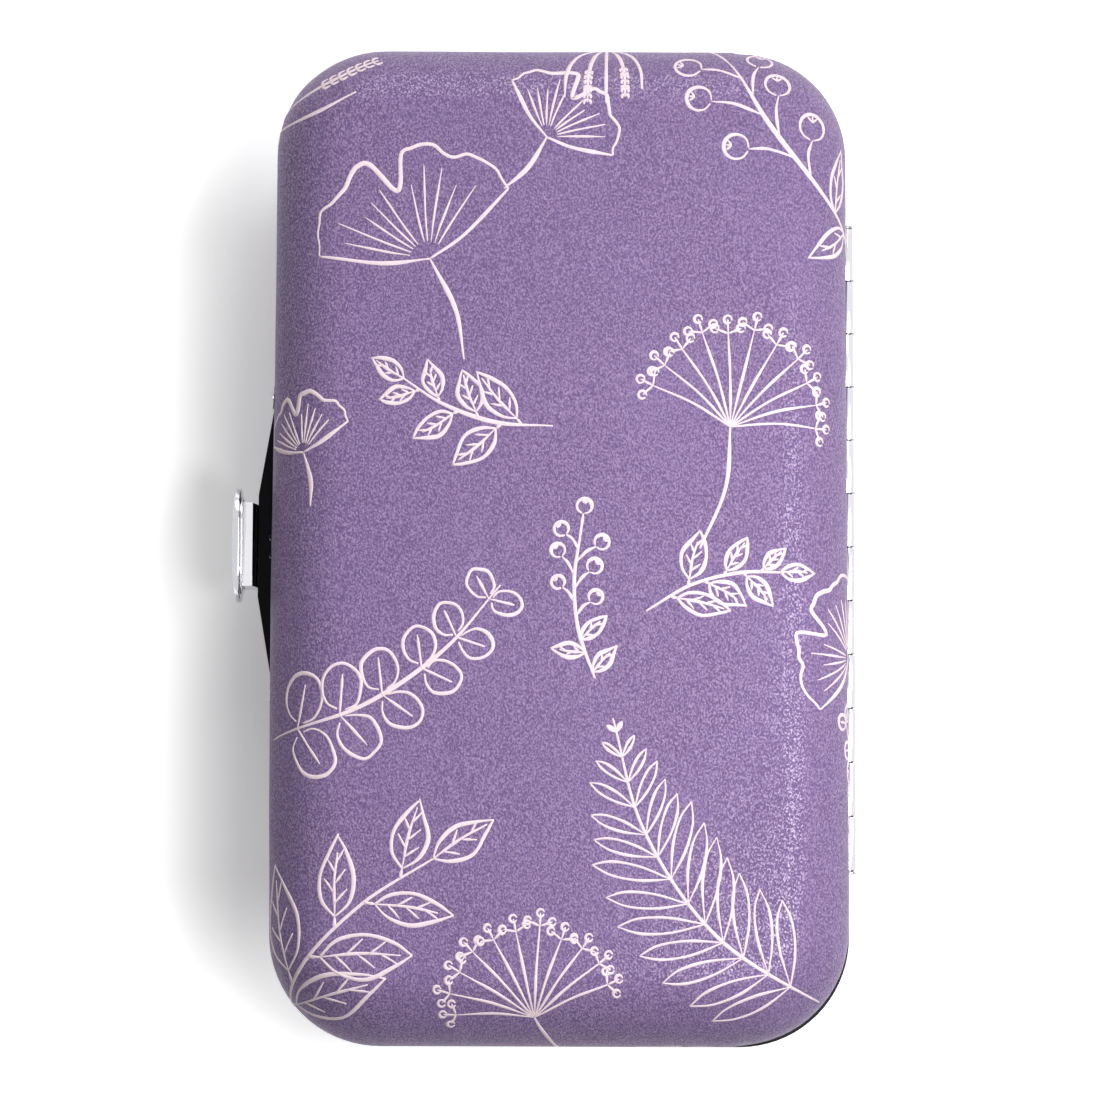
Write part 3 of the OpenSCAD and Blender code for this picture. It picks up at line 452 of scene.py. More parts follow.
def section(walk):
    """Where a walk from a corner's centre, out over the edge and down the wall, ends.

    Gives the radius, the depth below the face, and the outward and upward parts of the normal.
    """
    a = np.clip((walk - FLAT_R) / EDGE_R, 0, math.pi / 2)
    wall = np.maximum(walk - FLAT_R - ARC_L, 0)
    radius = np.minimum(walk, FLAT_R) + EDGE_R * np.sin(a)
    return radius, EDGE_R * (1 - np.cos(a)) + wall, np.sin(a), np.cos(a)


def ease(x):
    """A soft step from 0 to 1."""
    x = np.clip(x, 0, 1)
    return x * x * (3 - 2 * x)


def bell(y, middle, spread):
    return np.exp(-(((y - middle) / spread) ** 2))


def wobble(x, y):
    """Slow unevenness of hand-laid leather, from -1 to 1."""
    broad = np.sin(x / (5.1 * MM) + 1.3) * np.sin(y / (6.4 * MM) + 0.4)
    slanted = 0.6 * np.sin((x + 0.7 * y) / (3.3 * MM))
    fine = 0.4 * np.sin((y - 0.5 * x) / (2.3 * MM) + 2)
    return (broad + slanted + fine) / 2


def wall_puff(x, y, depth, out):
    """Bulge of the padded wall, nothing at the rim but for one corner, which is drawn in."""
    rim_depth = TOP_Z - LID_RIM_Z
    arch = np.sin(math.pi * np.clip((depth - BULGE_FROM) / (rim_depth - BULGE_FROM), 0, 1))
    left = (x < -CORE_X) * SIDE_SWELL * bell(y, *LEFT_SWELL)
    right = (x > CORE_X) * SIDE_SWELL * (RIGHT_SHARE * bell(y, *RIGHT_SWELL) - RIGHT_HOLLOW)
    corner = np.maximum(x - CORE_X, 0) * np.maximum(-y - CORE_Y, 0) / (0.5 * CORNER_R**2)
    drawn = CORNER_DRAW * np.minimum(corner, 1) ** 0.7 * ease((depth - DRAW_FROM) / DRAW_OVER)
    return out * (arch * (WALL_BULGE + left + right + WALL_WOBBLE * wobble(x, y)) - drawn)


def no_puff(x, y, depth, out, up):
    """A puff gives the lift off a layer's plain section, which is nothing here.

    It takes the place in plan, the depth below the face, and the outward and upward parts of the
    normal.
    """
    return np.zeros_like(x)


def lid_puff(x, y, depth, out, up):
    crown = CROWN * (1 - (x / SIDE_X) ** 2) * (1 - (y / END_Y) ** 2)
    uneven = WOBBLE * wobble(x, y)
    return np.maximum(crown, 0) * up + uneven * up + wall_puff(x, y, depth, out)


def base_puff(x, y, depth, out, up):
    return wall_puff(x, y, depth, out)


def lining_puff(x, y, depth, out, up):
    """The lining sags a little between its glued edges, and is drawn into its corners."""
    sag = LINING_SAG * np.maximum(1 - (x / SIDE_X) ** 2, 0) * np.maximum(1 - (y / END_Y) ** 2, 0)
    from_corner = (np.abs(x) - SIDE_X) ** 2 + (np.abs(y) - END_Y) ** 2
    corner = np.exp(-(from_corner / PLEAT_REACH**2))
    turn = np.arctan2(np.abs(y) - CORE_Y, np.abs(x) - CORE_X)
    pleats = PLEAT * np.sin(turn * PLEATS_PER_TURN) * corner
    uneven = LINING_WOBBLE * wobble(x * 1.3, y * 1.3)
    return -(sag * up + uneven + pleats * (0.3 + out))


def beside(y, half, edge):
    """1 within half of the middle, and 0 from an edge's width beyond it."""
    return 1 - ease((np.abs(y) - half) / edge)


def cover_cut(x, y):
    """How much higher than its rim a cover stops, at a station of its outline."""
    hinge = np.where(x > 0, beside(y, HINGE_HALF, CUT_EDGE), 0) * HINGE_CUT
    return hinge * (np.abs(y) < CORE_Y)


def base_cut(x, y):
    """The base's cover also makes room for the hook."""
    hook = np.where(x < 0, beside(y, HOOK_HALF, CUT_EDGE), 0) * HOOK_CUT
    return cover_cut(x, y) + hook * (np.abs(y) < CORE_Y)


def foam_cut(x, y):
    """The base's foam also stays below the rim behind the spring strip, where the rim is open."""
    strip = np.where(x < 0, beside(y, STRIP_HALF, STRIP_CUT_EDGE), 0) * STRIP_CUT
    return base_cut(x, y) + strip * (np.abs(y) < CORE_Y)


def lines(half, step, extra):
    """Places from -half to half about a step apart, with the extra ones among them."""
    count = round(2 * half / step)
    places = np.concatenate([np.linspace(-half, half, count + 1), extra, -np.array(extra)])
    return np.unique(np.round(places, 7))


def outline_stations(step, extra_y):
    """The core's grid lines, and each outline station's core point, direction and grid corner."""
    xs, ys = lines(CORE_X, step, []), lines(CORE_Y, step, extra_y)
    nx, ny = len(xs), len(ys)
    sides = [
        [(nx - 1, j) for j in range(ny)],
        [(i, ny - 1) for i in reversed(range(nx))],
        [(0, j) for j in reversed(range(ny))],
        [(i, 0) for i in range(nx)],
    ]
    core, way, grid = [], [], []
    for k, side in enumerate(sides):
        start = k * math.pi / 2
        turns = [start + math.pi / 2 * c / CORNER_STEPS for c in range(1, CORNER_STEPS)]
        stations = side + [side[-1]] * len(turns)
        for (i, j), turn in zip(stations, [start] * len(side) + turns):
            core.append((xs[i], ys[j]))
            way.append((math.cos(turn), math.sin(turn)))
            grid.append(i * ny + j)
    return xs, ys, np.array(core), np.array(way), grid


def rounded_layer(name, lid, insets, rim_z, puffs, slot,
                  cut=None, roll=0.0, step=COVER_GRID, extra_y=()):
    """A closed layer of the lid or the base between two insets, open at the parting line."""
    xs, ys, core, way, grid = outline_stations(step, list(extra_y))
    count = len(core)
    rim_depth = np.full(count, TOP_Z - rim_z if lid else rim_z)
    if cut:
        rim_depth = rim_depth - cut(core[:, 0], core[:, 1])
    grid_x, grid_y = (a.ravel() for a in np.meshgrid(xs, ys, indexing="ij"))
    outer, inner = insets

    def place(core_xy, way_xy, radius, depth, out, up, inset, puff):
        """Points at an inset from the outside, lifted by the puff."""
        plan = core_xy + way_xy * (radius - inset * out)[:, None]
        low = depth + inset * up
        lift = puff(plan[:, 0], plan[:, 1], depth, out, up)
        plan = plan + way_xy * (lift * out)[:, None]
        low = low - lift * up
        return np.column_stack([plan, TOP_Z - low if lid else low])

    def ring(walk, inset, puff):
        radius, depth, out, up = (v * np.ones(count) for v in section(walk))
        worn = bell(depth, rim_depth, WEAR_REACH)
        return place(core, way, radius, depth, out, up, inset, puff), worn

    def surface(inset, puff):
        """Rings from the core out over the edge and down to the rim."""
        wall_l = rim_depth - roll - EDGE_R
        walks = [FLAT_R * k / FLAT_STEPS for k in range(1, FLAT_STEPS + 1)]
        walks += [FLAT_R + ARC_L * k / ARC_STEPS for k in range(1, ARC_STEPS + 1)]
        walks += [FLAT_R + ARC_L + wall_l * k / WALL_STEPS for k in range(1, WALL_STEPS + 1)]
        return [ring(walk, inset, puff) for walk in walks]

    def rolled(angle):
        """A ring on the rim's roll, at an angle round it from the wall."""
        b = math.radians(angle)
        radius = np.full(count, CORNER_R - outer - roll * (1 - math.cos(b)))
        depth = rim_depth - roll * (1 - math.sin(b))
        out, up = np.ones(count), np.zeros(count)
        return place(core, way, radius, depth, out, up, 0.0, puffs[0]), np.ones(count)

    def face(inset, puff):
        """The flat grid inside the rings."""
        zero = np.zeros(len(grid_x))
        plan, still = np.column_stack([grid_x, grid_y]), np.column_stack([zero, zero])
        return place(plan, still, zero, zero, zero, zero + 1, inset, puff), zero

    turned = [rolled(angle) for angle in ROLL_ANGLES] if roll else []
    rings = surface(outer, puffs[0]) + turned + surface(inner, puffs[1])[::-1]
    sheets = [face(outer, puffs[0]), *rings, face(inner, puffs[1])]
    points = np.vstack([p for p, worn in sheets])
    wear = np.concatenate([worn for p, worn in sheets])
    ny = len(ys)
    cells = len(grid_x)
    last = cells + len(rings) * count

    def ring_index(k, i):
        if k == 0:
            return grid[i]
        if k == len(rings) + 1:
            return last + grid[i]
        return cells + (k - 1) * count + i

    faces = []
    for k in range(len(rings) + 1):
        for i in range(count):
            j = (i + 1) % count
            corners = [ring_index(*c) for c in ((k, i), (k + 1, i), (k + 1, j), (k, j))]
            faces.append(tuple(dict.fromkeys(corners)))
    for shift in (0, last):
        for i in range(len(xs) - 1):
            for j in range(ny - 1):
                a = shift + i * ny + j
                faces.append((a, a + 1, a + ny + 1, a + ny))
    piece = add_piece(name, points, faces, slot, "lid" if lid else "base")
    attribute = piece.data.attributes.new("wear", "FLOAT", "POINT")
    attribute.data.foreach_set("value", wear.astype(np.float32))
    return piece


def make_covers():
    extra = [HINGE_HALF, HINGE_HALF + CUT_EDGE / 2, HINGE_HALF + CUT_EDGE]
    hook = [HOOK_HALF, HOOK_HALF + CUT_EDGE / 2, HOOK_HALF + CUT_EDGE]
    skin = (0.0, LEATHER_T)
    lid = rounded_layer("lid_leather", True, skin, LID_RIM_Z, (lid_puff, lid_puff), "leatherette",
                        cover_cut, RIM_ROLL, extra_y=extra)
    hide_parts("lid_cover")
    base = rounded_layer("base_leather", False, skin, BASE_RIM_Z, (base_puff, base_puff),
                         "leatherette", base_cut, RIM_ROLL, extra_y=extra + hook)
    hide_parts("base_cover")


def make_padding():
    foam_in = (FOAM_IN, FOAM_IN + FOAM_T)
    extra = [HINGE_HALF, HINGE_HALF + CUT_EDGE]
    hook = [HOOK_HALF, HOOK_HALF + CUT_EDGE]
    lid = rounded_layer("lid_foam", True, foam_in, LID_RIM_Z, (lid_puff, no_puff), "foam",
                        cover_cut, step=FOAM_GRID, extra_y=extra)
    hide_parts("lid_padding")
    base = rounded_layer("base_foam", False, foam_in, BASE_RIM_Z, (base_puff, no_puff), "foam",
                         foam_cut, step=FOAM_GRID, extra_y=extra + hook)
    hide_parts("base_padding")


def make_lining():
    rim_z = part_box("lid_lining")[0].z
    insets = (LINING_IN, LINING_IN + LINING_T)
    lining = rounded_layer("lid_velvet", True, insets, rim_z, (no_puff, lining_puff), "velvet",
                           roll=LINING_ROLL)
    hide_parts("lid_lining")


def smooth(points, step=0.45):
    """A smooth line through rough points. Points are complex numbers in millimetres, x + y j."""
    p = np.array(points, complex)
    p = np.concatenate([[2 * p[0] - p[1]], p, [2 * p[-1] - p[-2]]])
    line = []
    for a, b, c, d in zip(p, p[1:], p[2:], p[3:]):
        t = np.linspace(0, 1, int(abs(c - b) / step) + 2, endpoint=False)
        line.append(b + 0.5 * (t * (c - a) + t**2 * (2 * a - 5 * b + 4 * c - d)
                               + t**3 * (3 * b - 3 * c + d - a)))
    return np.append(np.concatenate(line), p[-2])


def bowed(start, end, bow):
    """A stem from start to end that bows sideways by a share of its length."""
    way = end - start
    bend = 1j * bow * way
    return smooth([start, start + 0.35 * way + bend, start + 0.7 * way + 1j * bow * 0.9 * way, end])


def along(line, share):
    """The point and direction at a share of a line."""
    i = min(int(share * (len(line) - 1)), len(line) - 2)
    way = line[i + 1] - line[i]
    return line[i], way / abs(way)


# The motifs of the print. Each gives its strokes as lines in millimetres with their widths. The
# numbers are shares of the motif's size, and angles in radians.


def leaf(base, tip, plump, veins, rng):
    """A pointed leaf with a midrib and side veins. Plump is its half width over its length."""
    way = tip - base
    side = 1j * way * plump
    strokes = []
    for s in (1, -1):
        wave = 1 + rng.uniform(-0.12, 0.12, 3)
        rough = [base, base + 0.2 * way + s * 0.75 * wave[0] * side,
                 base + 0.5 * way + s * wave[1] * side,
                 base + 0.8 * way + s * 0.5 * wave[2] * side, tip + rng.uniform(-0.02, 0.05) * way]
        strokes.append((smooth(rough), 0.5))
    midrib = [base, base + 0.45 * way + 0.12 * side, base + rng.uniform(0.75, 0.9) * way]
    strokes.append((smooth(midrib), 0.36))
    for k in range(veins):
        s = 1 if k % 2 else -1
        start = base + way * (0.16 + 0.62 * k / veins) + 0.08 * side
        reach = s * side * (0.72 - 0.35 * k / veins)
        vein = [start, start + 0.09 * way + 0.45 * reach, start + 0.19 * way + reach]
        strokes.append((smooth(vein), 0.28))
    return strokes


def leaf_sprig(length, rng):
    """A stem with alternate pointed leaves and one at its end."""
    stem = bowed(0, length * 1j, 0.09)
    strokes = [(stem, 0.5)]
    for k, share in enumerate(np.linspace(0.2, 0.86, 6)):
        at, way = along(stem, share)
        side = 1j if k % 2 else -1j
        size = length * (0.4 - 0.2 * share) * rng.uniform(0.9, 1.1)
        turn = way * np.exp(side.imag * 1j * rng.uniform(0.75, 0.95))
        foot = at + turn * size * 0.14
        strokes.append((smooth([at, foot]), 0.4))
        strokes += leaf(foot, foot + turn * size, rng.uniform(0.2, 0.26), 5, rng)
    at, way = along(stem, 1.0)
    return strokes + leaf(at, at + way * length * 0.24, 0.23, 4, rng)


def coin_sprig(length, rng):
    """A stem with opposite round leaves that get smaller towards the tip."""
    stem = bowed(0, length * 1j, -0.1)
    strokes = [(stem, 0.5)]
    angles = np.linspace(0.25, 2 * math.pi - 0.15, 11) + math.pi
    for share in np.linspace(0.14, 0.94, 6):
        at, way = along(stem, share)
        size = length * (0.094 - 0.045 * share)
        for side in (1, -1):
            turn = way * np.exp(side * 1j * rng.uniform(0.95, 1.2))
            middle = at + turn * size * 1.22
            oval = np.cos(angles) + 0.86j * np.sin(angles)
            edge = middle + turn * size * oval * rng.uniform(0.93, 1.07, 11)
            strokes.append((smooth(edge, 0.35), 0.45))
            strokes.append((smooth([at, middle, middle + turn * size * 0.55]), 0.34))
    return strokes


def fern(length, rng):
    """A frond of slender paired leaflets."""
    rib = bowed(0, length * 1j, 0.13)
    strokes = [(rib, 0.48)]
    for share in np.linspace(0.13, 0.97, 13):
        at, way = along(rib, share)
        taper = math.sin(math.pi * min(0.3 + 0.68 * share, 0.985))
        size = length * 0.225 * taper * rng.uniform(0.93, 1.07)
        for side in (1, -1):
            turn = way * np.exp(side * 1j * (1.15 - 0.35 * share))
            tip = at + turn * size + way * size * 0.18
            for s in (1, -1):
                bulge = s * 1j * turn * size * 0.095
                edge = [at, at + 0.4 * (tip - at) + bulge, at + 0.75 * (tip - at) + bulge, tip]
                strokes.append((smooth(edge), 0.34))
    return strokes


def fan_leaf(size, rng):
    """A fan-shaped leaf on a long stalk, with a notch and fine spreading veins."""
    strokes = [(smooth([-0.95j * size, -0.5j * size + 0.08 * size, 0.02 * size]), 0.55)]
    angles = np.linspace(math.radians(22), math.radians(158), 25)
    notch = 1 - 0.42 * np.exp(-(((angles - math.radians(93)) / 0.075) ** 2))
    ripple = 1 + 0.035 * np.sin(angles * 11) + rng.uniform(-0.02, 0.02, 25)
    rim = size * notch * ripple * np.exp(1j * angles)
    strokes.append((smooth(rim, 0.4), 0.55))
    for end, side in ((rim[0], 1), (rim[-1], -1)):
        strokes.append((smooth([0.02 * size, 0.42 * end - side * 0.05j * end, end]), 0.5))
    for angle in np.radians([36, 48, 60, 71, 81, 103, 113, 124, 136, 147]):
        reach = size * rng.uniform(0.66, 0.88)
        ray = np.exp(1j * angle)
        vein = [0.16 * size * ray, (0.5 + 0.02j) * reach * ray, reach * ray * np.exp(0.03j)]
        strokes.append((smooth(vein), 0.27))
    return strokes


def umbel(size, rng):
    """A flat seed head: a stalk, spreading rays, and a small tuft of loops at the end of each."""
    strokes = [(smooth([-1.25j * size, -0.6j * size + 0.1 * size, 0j]), 0.5)]
    for angle in np.radians(np.linspace(14, 166, 11)):
        ray = np.exp(1j * angle)
        reach = size * (0.82 + 0.16 * math.sin(angle)) * rng.uniform(0.92, 1.05)
        bent = 0.5 * reach * ray * np.exp(0.08j * math.cos(angle))
        strokes.append((smooth([0, bent, reach * ray]), 0.34))
        for turn in (-1.2, 0, 1.2):
            tip = reach * ray + size * 0.14 * ray * np.exp(1j * turn)
            strokes.append((smooth([reach * ray, tip]), 0.3))
            ring = tip + size * 0.04 * np.exp(1j * np.linspace(0, 5.8, 7))
            strokes.append((smooth(ring, 0.3), 0.36))
    return strokes


def berry_twig(length, rng):
    """A forked twig with round berries, each with a small star at its end."""
    stem = bowed(0, length * 1j, 0.08)
    strokes = [(stem, 0.55)]
    for share, side in zip((0.46, 0.55, 0.64, 0.74, 0.82, 0.91, 1.0), (-1, 1, -1, 1, -1, 1, 0)):
        at, way = along(stem, share)
        turn = way * np.exp(side * 1j * rng.uniform(0.6, 0.95))
        size = length * rng.uniform(0.045, 0.055)
        end = at + turn * length * rng.uniform(0.13, 0.2)
        strokes.append((smooth([at, 0.5 * (at + end) + 0.02 * way * length, end]), 0.38))
        middle = end + turn * size
        ring = middle - turn * size * np.exp(1j * np.linspace(0.1, 6.1, 10))
        strokes.append((smooth(ring, 0.3), 0.45))
        for spoke in (-0.5, 0, 0.5):
            star = [middle + 0.35 * turn * size, middle + turn * size * 0.85 * np.exp(1j * spoke)]
            strokes.append((smooth(star), 0.28))
    for share, side in ((0.06, -1), (0.2, 1), (0.3, -1)):
        at, way = along(stem, share)
        strokes += leaf(at, at + way * np.exp(side * 1.1j) * length * 0.24, 0.2, 3, rng)
    return strokes


def grass(length, rng):
    """A tuft of bending blades, every other one with seeds."""
    strokes = []
    for k, lean in enumerate((-0.42, -0.2, 0.02, 0.22, 0.46)):
        end = length * rng.uniform(0.75, 1.0) * 1j * np.exp(-1j * lean)
        blade = bowed(0.3 * k, end, -0.25 * lean)
        strokes.append((blade, 0.48))
        if k % 2:
            for share in np.linspace(0.62, 0.98, 7):
                at, way = along(blade, share)
                for side in (1, -1):
                    tip = at + way * np.exp(side * 0.55j) * length * 0.06
                    seed = [at, 0.5 * (at + tip) + 0.3j * side * (tip - at), tip]
                    strokes.append((smooth(seed), 0.4))
    return strokes


# What is printed where: motif, size, place of its origin on the flat sheet in millimetres, and
# heading in degrees from +Y
LID_PRINT = [
    (fan_leaf, 13.5, (-16, 33), 20), (fan_leaf, 8.5, (-2, 48), -38), (umbel, 12, (20, 13), -14),
    (coin_sprig, 34, (-36, -24), -58), (fern, 43, (32, -56), 37), (berry_twig, 33, (42, 34), 42),
    (leaf_sprig, 35, (-38, -64), -42), (fan_leaf, 10, (38, -14), 64), (umbel, 11, (-3, -57), 12),
    (grass, 22, (-43, 53), -62), (leaf_sprig, 19, (-1, 13), 72), (berry_twig, 17, (4, -17), 6),
    (fan_leaf, 7, (-31, 10), 10), (grass, 12, (6, 63), 177), (coin_sprig, 20, (41, -40), 15),
    (fan_leaf, 7, (14, -71), -12), (leaf_sprig, 17, (10, -9), -74),
]
BASE_PRINT = [
    (fern, 44, (-24, -44), -34), (fan_leaf, 13, (12, 31), -20), (umbel, 12, (-14, 17), 18),
    (leaf_sprig, 34, (37, -30), 52), (berry_twig, 32, (-40, 30), -40),
    (coin_sprig, 34, (22, -60), 30), (fan_leaf, 9, (-33, -14), -70), (grass, 24, (40, 50), 80),
    (umbel, 10, (0, 54), -170), (leaf_sprig, 24, (-38, -60), -10), (fan_leaf, 7, (14, 4), -30),
    (berry_twig, 18, (36, 8), 20), (coin_sprig, 22, (-41, 5), 12), (fan_leaf, 8, (-22, 58), 150),
    (grass, 16, (2, -66), 5),
]
LID_SEED = 11
BASE_SEED = 12


def wrapped(flat, lift, lid, puff):
    """Points of the flat sheet laid over one half and lifted off its leather."""
    x, y = flat.real * MM, flat.imag * MM
    core = np.column_stack([np.clip(x, -CORE_X, CORE_X), np.clip(y, -CORE_Y, CORE_Y)])
    way = np.column_stack([x, y]) - core
    walk = np.linalg.norm(way, axis=1)
    way /= np.maximum(walk, 1e-9)[:, None]
    radius, depth, out, up = section(walk)
    plan = core + way * radius[:, None]
    lift = lift + puff(plan[:, 0], plan[:, 1], depth, out, up)
    plan = plan + way * (lift * out)[:, None]
    low = depth - lift * up
    return np.column_stack([plan, TOP_Z - low if lid else low])


def add_ribbon(points, faces, line, width, lid, puff, rng):
    """One stroke of ink: a closed ribbon that thins to its ends, its edges let into the leather."""
    way = np.gradient(line)
    side = 1j * way / np.maximum(abs(way), 1e-6)
    t = np.linspace(0, 1, len(line))
    wave = 1 + STROKE_WAVE * np.sin(t * rng.uniform(5, 11) + rng.uniform(0, 6))
    taper = 0.45 + 0.55 * np.minimum(1, 3.2 * np.minimum(t, 1 - t))
    half = STROKE_HALF * width * wave * taper
    rise = INK_T * rng.uniform(0.75, 1.25)
    edges = [(half, -INK_SUNK), (0.8 * half, rise), (-0.8 * half, rise), (-half, -INK_SUNK)]
    first = sum(len(p) for p in points)
    count = len(line)
    for across, lift in edges:
        points.append(wrapped(line + across * side, lift, lid, puff))
    for k in range(4):
        a, b = first + k * count, first + (k + 1) % 4 * count
        faces += [(a + i, a + i + 1, b + i + 1, b + i) for i in range(count - 1)]
    faces.append(tuple(first + k * count for k in range(4)))
    faces.append(tuple(first + (k + 1) * count - 1 for k in (3, 2, 1, 0)))


def make_print(name, lid, layout, puff, seed):
    """The line drawing, as thin tapered ribbons of ink that lie on the leather."""
    rng = np.random.default_rng(seed)
    points, faces = [], []
    core_x, core_y = CORE_X / MM, CORE_Y / MM
    reach = (FLAT_R + ARC_L + PRINT_ON_WALL) / MM
    for motif, size, origin, heading in layout:
        turn = np.exp(1j * math.radians(heading))
        for line, width in motif(size, rng):
            line = complex(*origin) + line * turn
            beyond_x = np.maximum(abs(line.real) - core_x, 0)
            beyond_y = np.maximum(abs(line.imag) - core_y, 0)
            inside = np.hypot(beyond_x, beyond_y) < reach
            for run in np.split(np.arange(len(line)), np.where(np.diff(inside))[0] + 1):
                if inside[run[0]] and len(run) > 2:
                    add_ribbon(points, faces, line[run], width, lid, puff, rng)
    add_piece(name, np.vstack(points), faces, "print", "lid" if lid else "base")


def finish_copy(node, name, bevel, slot, body=None):
    """A copy of a node's mesh with its edges rounded off, which stands for the node."""
    bm = bmesh.new()
    bm.from_mesh(frame["nodes"][node].data)
    bmesh.ops.remove_doubles(bm, verts=bm.verts, dist=WELD)
    bmesh.ops.dissolve_limit(bm, angle_limit=FLAT_ANGLE, verts=bm.verts, edges=bm.edges)
    mesh = bpy.data.meshes.new(name)
    bm.to_mesh(mesh)
    bm.free()
    shade_smooth(mesh)
    piece = show(name, mesh)
    dress(mesh, slot)
    edge = piece.modifiers.new("edge", "BEVEL")
    edge.width = bevel
    edge.segments = EDGE_SEGMENTS
    edge.limit_method = "ANGLE"
    edge.angle_limit = EDGE_ANGLE
    edge.harden_normals = True
    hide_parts(node)
    if body:
        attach(piece, body)
    return piece


BODIES = frame["record"]["behaviour"]["bodies"]
BODY_OF = {node: body for body, nodes in BODIES.items() for node in nodes}
SLOT_OF = {part["node"]: part["material_slot"] for part in frame["record"]["subparts"]}
# How wide the edges of the finished nodes are broken, in millimetres
EDGE_BREAKS = {
    "base_hinge_leaf": 0.09, "lid_hinge_leaf": 0.09, "hinge_pin": 0.06,
    "latch_spring_rivets": 0.08, "lid_catch": 0.07, "lid_catch_rivets": 0.06,
    "thumb_plate": 0.12, "thumb_backing": 0.08, "latch_bracket": 0.09, "latch_hook": 0.06,
    "latch_rivets": 0.06, "clipper_lower_arm": 0.12, "clipper_upper_arm": 0.12,
    "clipper_lever": 0.25, "clipper_post": 0.1, "scissor_blade_left": 0.2,
    "scissor_blade_right": 0.2, "scissor_screw": 0.08, "tweezer_lower_arm": 0.12,
    "tweezer_upper_arm": 0.12, "nail_file": 0.15, "nail_file_handle": 0.5, "cuticle_pusher": 0.15,
}


def make_metalwork():
    """The metal pieces and the plastic handle, with their edges broken.

    The clasp's rivets are blackened like the strip, because the photograph shows no bright heads
    there, and the thumb plate's chrome is a little greyer and duller than the hinge's.
    """
    for node, bevel in EDGE_BREAKS.items():
        slot = "black_enamel" if node == "latch_rivets" else SLOT_OF[node]
        piece = finish_copy(node, node + "_finished", bevel * MM, slot, BODY_OF[node])
        if node == "thumb_plate":
            piece.data.materials[0] = metal("chrome_plate", (209, 210, 217),
                                            roughness=(0.05, 0.18), scratches=0.1)


def make_strip():
    """The clasp's strip in two halves, split at the middle and cut across at even steps along its
    length.
    """
    source = finish_copy("latch_spring", "latch_strip", STRIP_BREAK, "black_enamel")
    graph = bpy.context.evaluated_depsgraph_get()
    whole = bpy.data.meshes.new_from_object(source.evaluated_get(graph))
    bpy.data.objects.remove(source)
    end_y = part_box("latch_spring")[1].y

    def split(bm, y, way, **clear):
        parts = [*bm.verts, *bm.edges, *bm.faces]
        bmesh.ops.bisect_plane(bm, geom=parts, plane_co=(0, y, 0), plane_no=(0, way, 0), **clear)

    for name, way in (("latch_strip_upper", 1), ("latch_strip_lower", -1)):
        bm = bmesh.new()
        bm.from_mesh(whole)
        for y in np.arange(-end_y + STRIP_STEP, end_y, STRIP_STEP):
            split(bm, y, 1)
        split(bm, 0, way, clear_inner=True)
        rim = [e for e in bm.edges if e.is_boundary]
        bmesh.ops.holes_fill(bm, edges=rim)
        for edge in rim:
            edge.smooth = False
        mesh = bpy.data.meshes.new(name)
        bm.to_mesh(mesh)
        bm.free()
        dress(mesh, "black_enamel")
        half = show(name, mesh)
        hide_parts("latch_spring")
        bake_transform(half)


def make_tray():
    """The tray's own solid, remeshed and smoothed so that its flocked edges are soft."""
    tray = show("tool_tray_flocked", frame["nodes"]["tool_tray"].data.copy())
    grid = tray.modifiers.new("grid", "REMESH")
    grid.mode = "VOXEL"
    grid.voxel_size = TRAY_GRID
    soft = tray.modifiers.new("soft", "SMOOTH")
    soft.factor = 0.5
    soft.iterations = TRAY_SMOOTHING
    shown = tray.evaluated_get(bpy.context.evaluated_depsgraph_get())
    tray.data = bpy.data.meshes.new_from_object(shown)
    tray.modifiers.clear()
    dress(tray.data, "flock")
    shade_smooth(tray.data)
    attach(tray, "base")
    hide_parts("tool_tray")


def dress_nodes():
    """The nodes that keep their own shape get their finish."""
    for name, node in frame["nodes"].items():
        dress(node.data, SLOT_OF[name])


def make_stage():
    """A pale floor that shows white away from the case and keeps the case's shadow only close
    beside it, with painted light rising around the case and far off.
    """
    s = Shader("floor")
    s.tree.nodes.remove(s.surface)
    path = s.node("LightPath", {})
    seen = s.math("MAXIMUM", path.outputs["Is Camera Ray"], path.outputs["Is Glossy Ray"])
    seen = s.math("MAXIMUM", seen, path.outputs["Is Transmission Ray"])
    grey = s.node("BsdfDiffuse", {"Color": (FLOOR_PALE, FLOOR_PALE, FLOOR_PALE, 1)})
    place = s.node("SeparateXYZ", {"Vector": s.coords})
    level = FLOOR_LIFT
    # Painted light: the floor's glow rises with distance from the case, brightening it where the
    # shadow would fall
    for axis, start, end, rise in FLOOR_PAINTED_LIGHT:
        away = s.math("ABSOLUTE", place.outputs[axis])
        part = {"Value": away, "From Min": start * MM, "From Max": end * MM, "To Max": rise}
        painted_light = s.node("MapRange", part, interpolation_type="SMOOTHSTEP").outputs[0]
        level = s.math("ADD", level, painted_light)
    strength = s.math("MULTIPLY", seen, level)
    lift = s.node("Emission", {"Color": (1, 1, 1, 1), "Strength": strength})
    both = s.node("AddShader", {0: grey.outputs[0], 1: lift.outputs[0]})
    s.tree.links.new(both.outputs[0], s.output.inputs["Surface"])
    mesh = bpy.data.meshes.new("floor")
    corners = [(x * FLOOR_HALF, y * FLOOR_HALF, FLOOR_Z)
               for x, y in ((-1, -1), (1, -1), (1, 1), (-1, 1))]
    mesh.from_pydata(corners, [], [(0, 1, 2, 3)])
    mesh.materials.append(s.material)
    floor = show("floor", mesh)


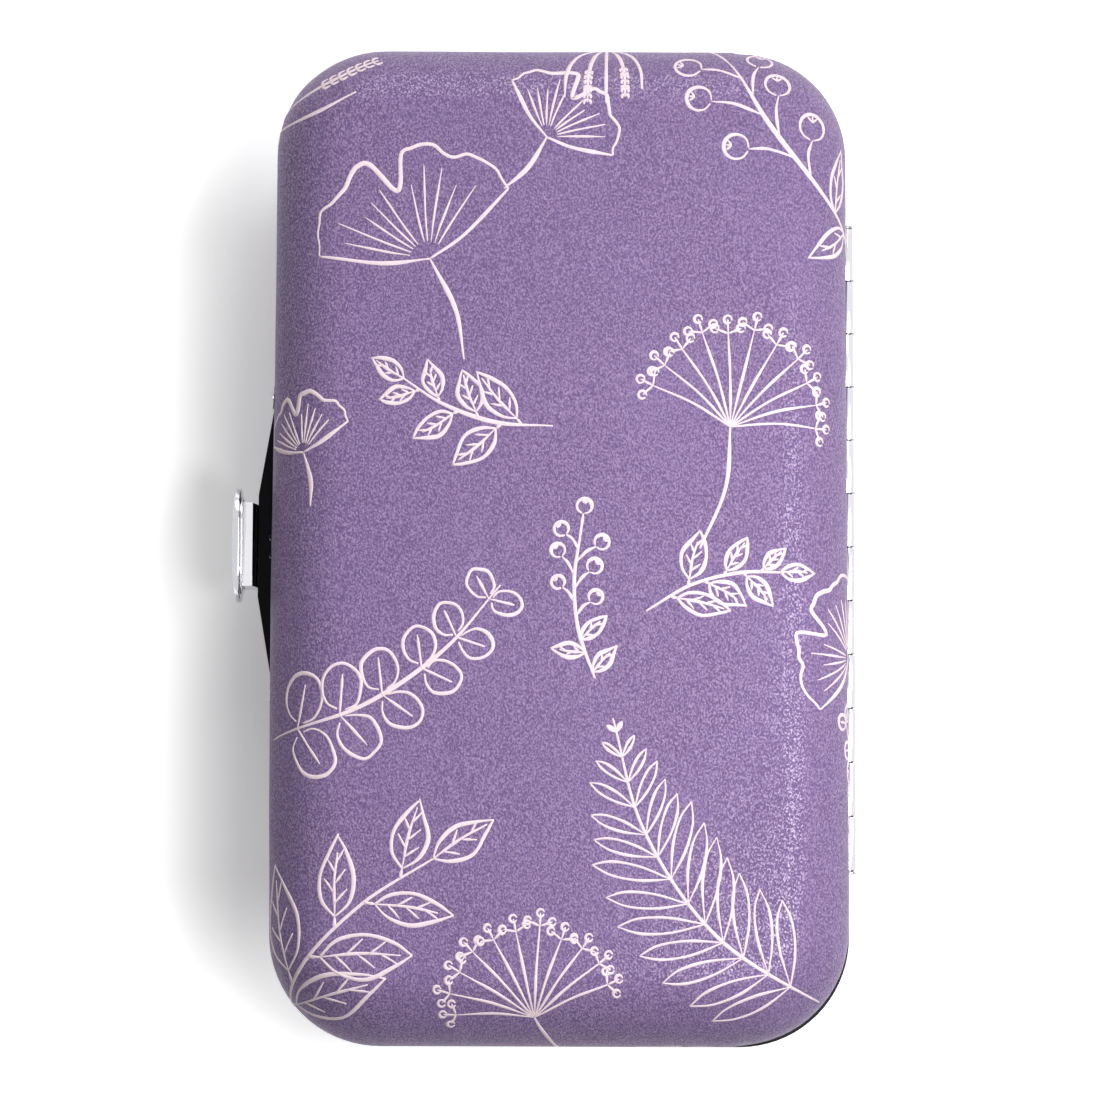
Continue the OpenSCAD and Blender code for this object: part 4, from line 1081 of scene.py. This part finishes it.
def make_lights():
    """The soft lamps, each as strong as its share of the light on the lid asks, and the world."""
    for name, azimuth, elevation, distance, size, share in LAMPS:
        a, e = math.radians(azimuth), math.radians(elevation)
        way = Vector((math.cos(e) * math.cos(a), math.cos(e) * math.sin(a), math.sin(e)))
        data = bpy.data.lights.new(name, "AREA")
        data.shape = "DISK"
        data.size = size
        data.energy = share * (math.pi * distance) ** 2 / math.sin(e)
        lamp = show(name, data)
        lamp.location = Vector((0, 0, TOP_Z)) + way * distance
        lamp.rotation_euler = way.to_track_quat("Z", "Y").to_euler()
    world = bpy.data.worlds.new("studio")
    world.use_nodes = True
    links, nodes = world.node_tree.links, world.node_tree.nodes
    back, path = nodes["Background"], nodes.new("ShaderNodeLightPath")
    back.inputs["Color"].default_value = (1, 1, 1, 1)
    seen = path.outputs["Is Camera Ray"]
    for kind in ("Is Glossy Ray", "Is Transmission Ray"):
        either = nodes.new("ShaderNodeMath")
        either.operation = "MAXIMUM"
        links.new(seen, either.inputs[0])
        links.new(path.outputs[kind], either.inputs[1])
        seen = either.outputs[0]
    # White where it is seen, and only its share where it lights the case
    level = nodes.new("ShaderNodeMath")
    level.operation = "MULTIPLY_ADD"
    level.inputs[1].default_value = 1 - WORLD_SHARE
    level.inputs[2].default_value = WORLD_SHARE
    links.new(seen, level.inputs[0])
    links.new(level.outputs[0], back.inputs["Strength"])
    bpy.context.scene.world = world
    bpy.context.scene.view_settings.view_transform = "Standard"


def make_camera():
    data = bpy.data.cameras.new("camera")
    data.sensor_width = SENSOR_MM
    data.lens = SENSOR_MM * FOCAL_PX / PHOTO_PX
    camera = show("camera", data)
    tilt = Euler((math.radians(CAMERA_TILT), 0, 0)).to_matrix()
    turn = tilt @ Matrix.Rotation(math.radians(CAMERA_ROLL), 3, "Z")
    camera.location = Vector(CAMERA_AIM) + turn @ Vector((0, 0, CAMERA_DISTANCE))
    camera.rotation_euler = turn.to_euler()
    bpy.context.scene.camera = camera


make_camera()
make_lights()
make_stage()
dress_nodes()
make_covers()
make_padding()
make_lining()
make_print("lid_print", True, LID_PRINT, lid_puff, LID_SEED)
make_print("base_print", False, BASE_PRINT, base_puff, BASE_SEED)
make_metalwork()
make_strip()
make_tray()
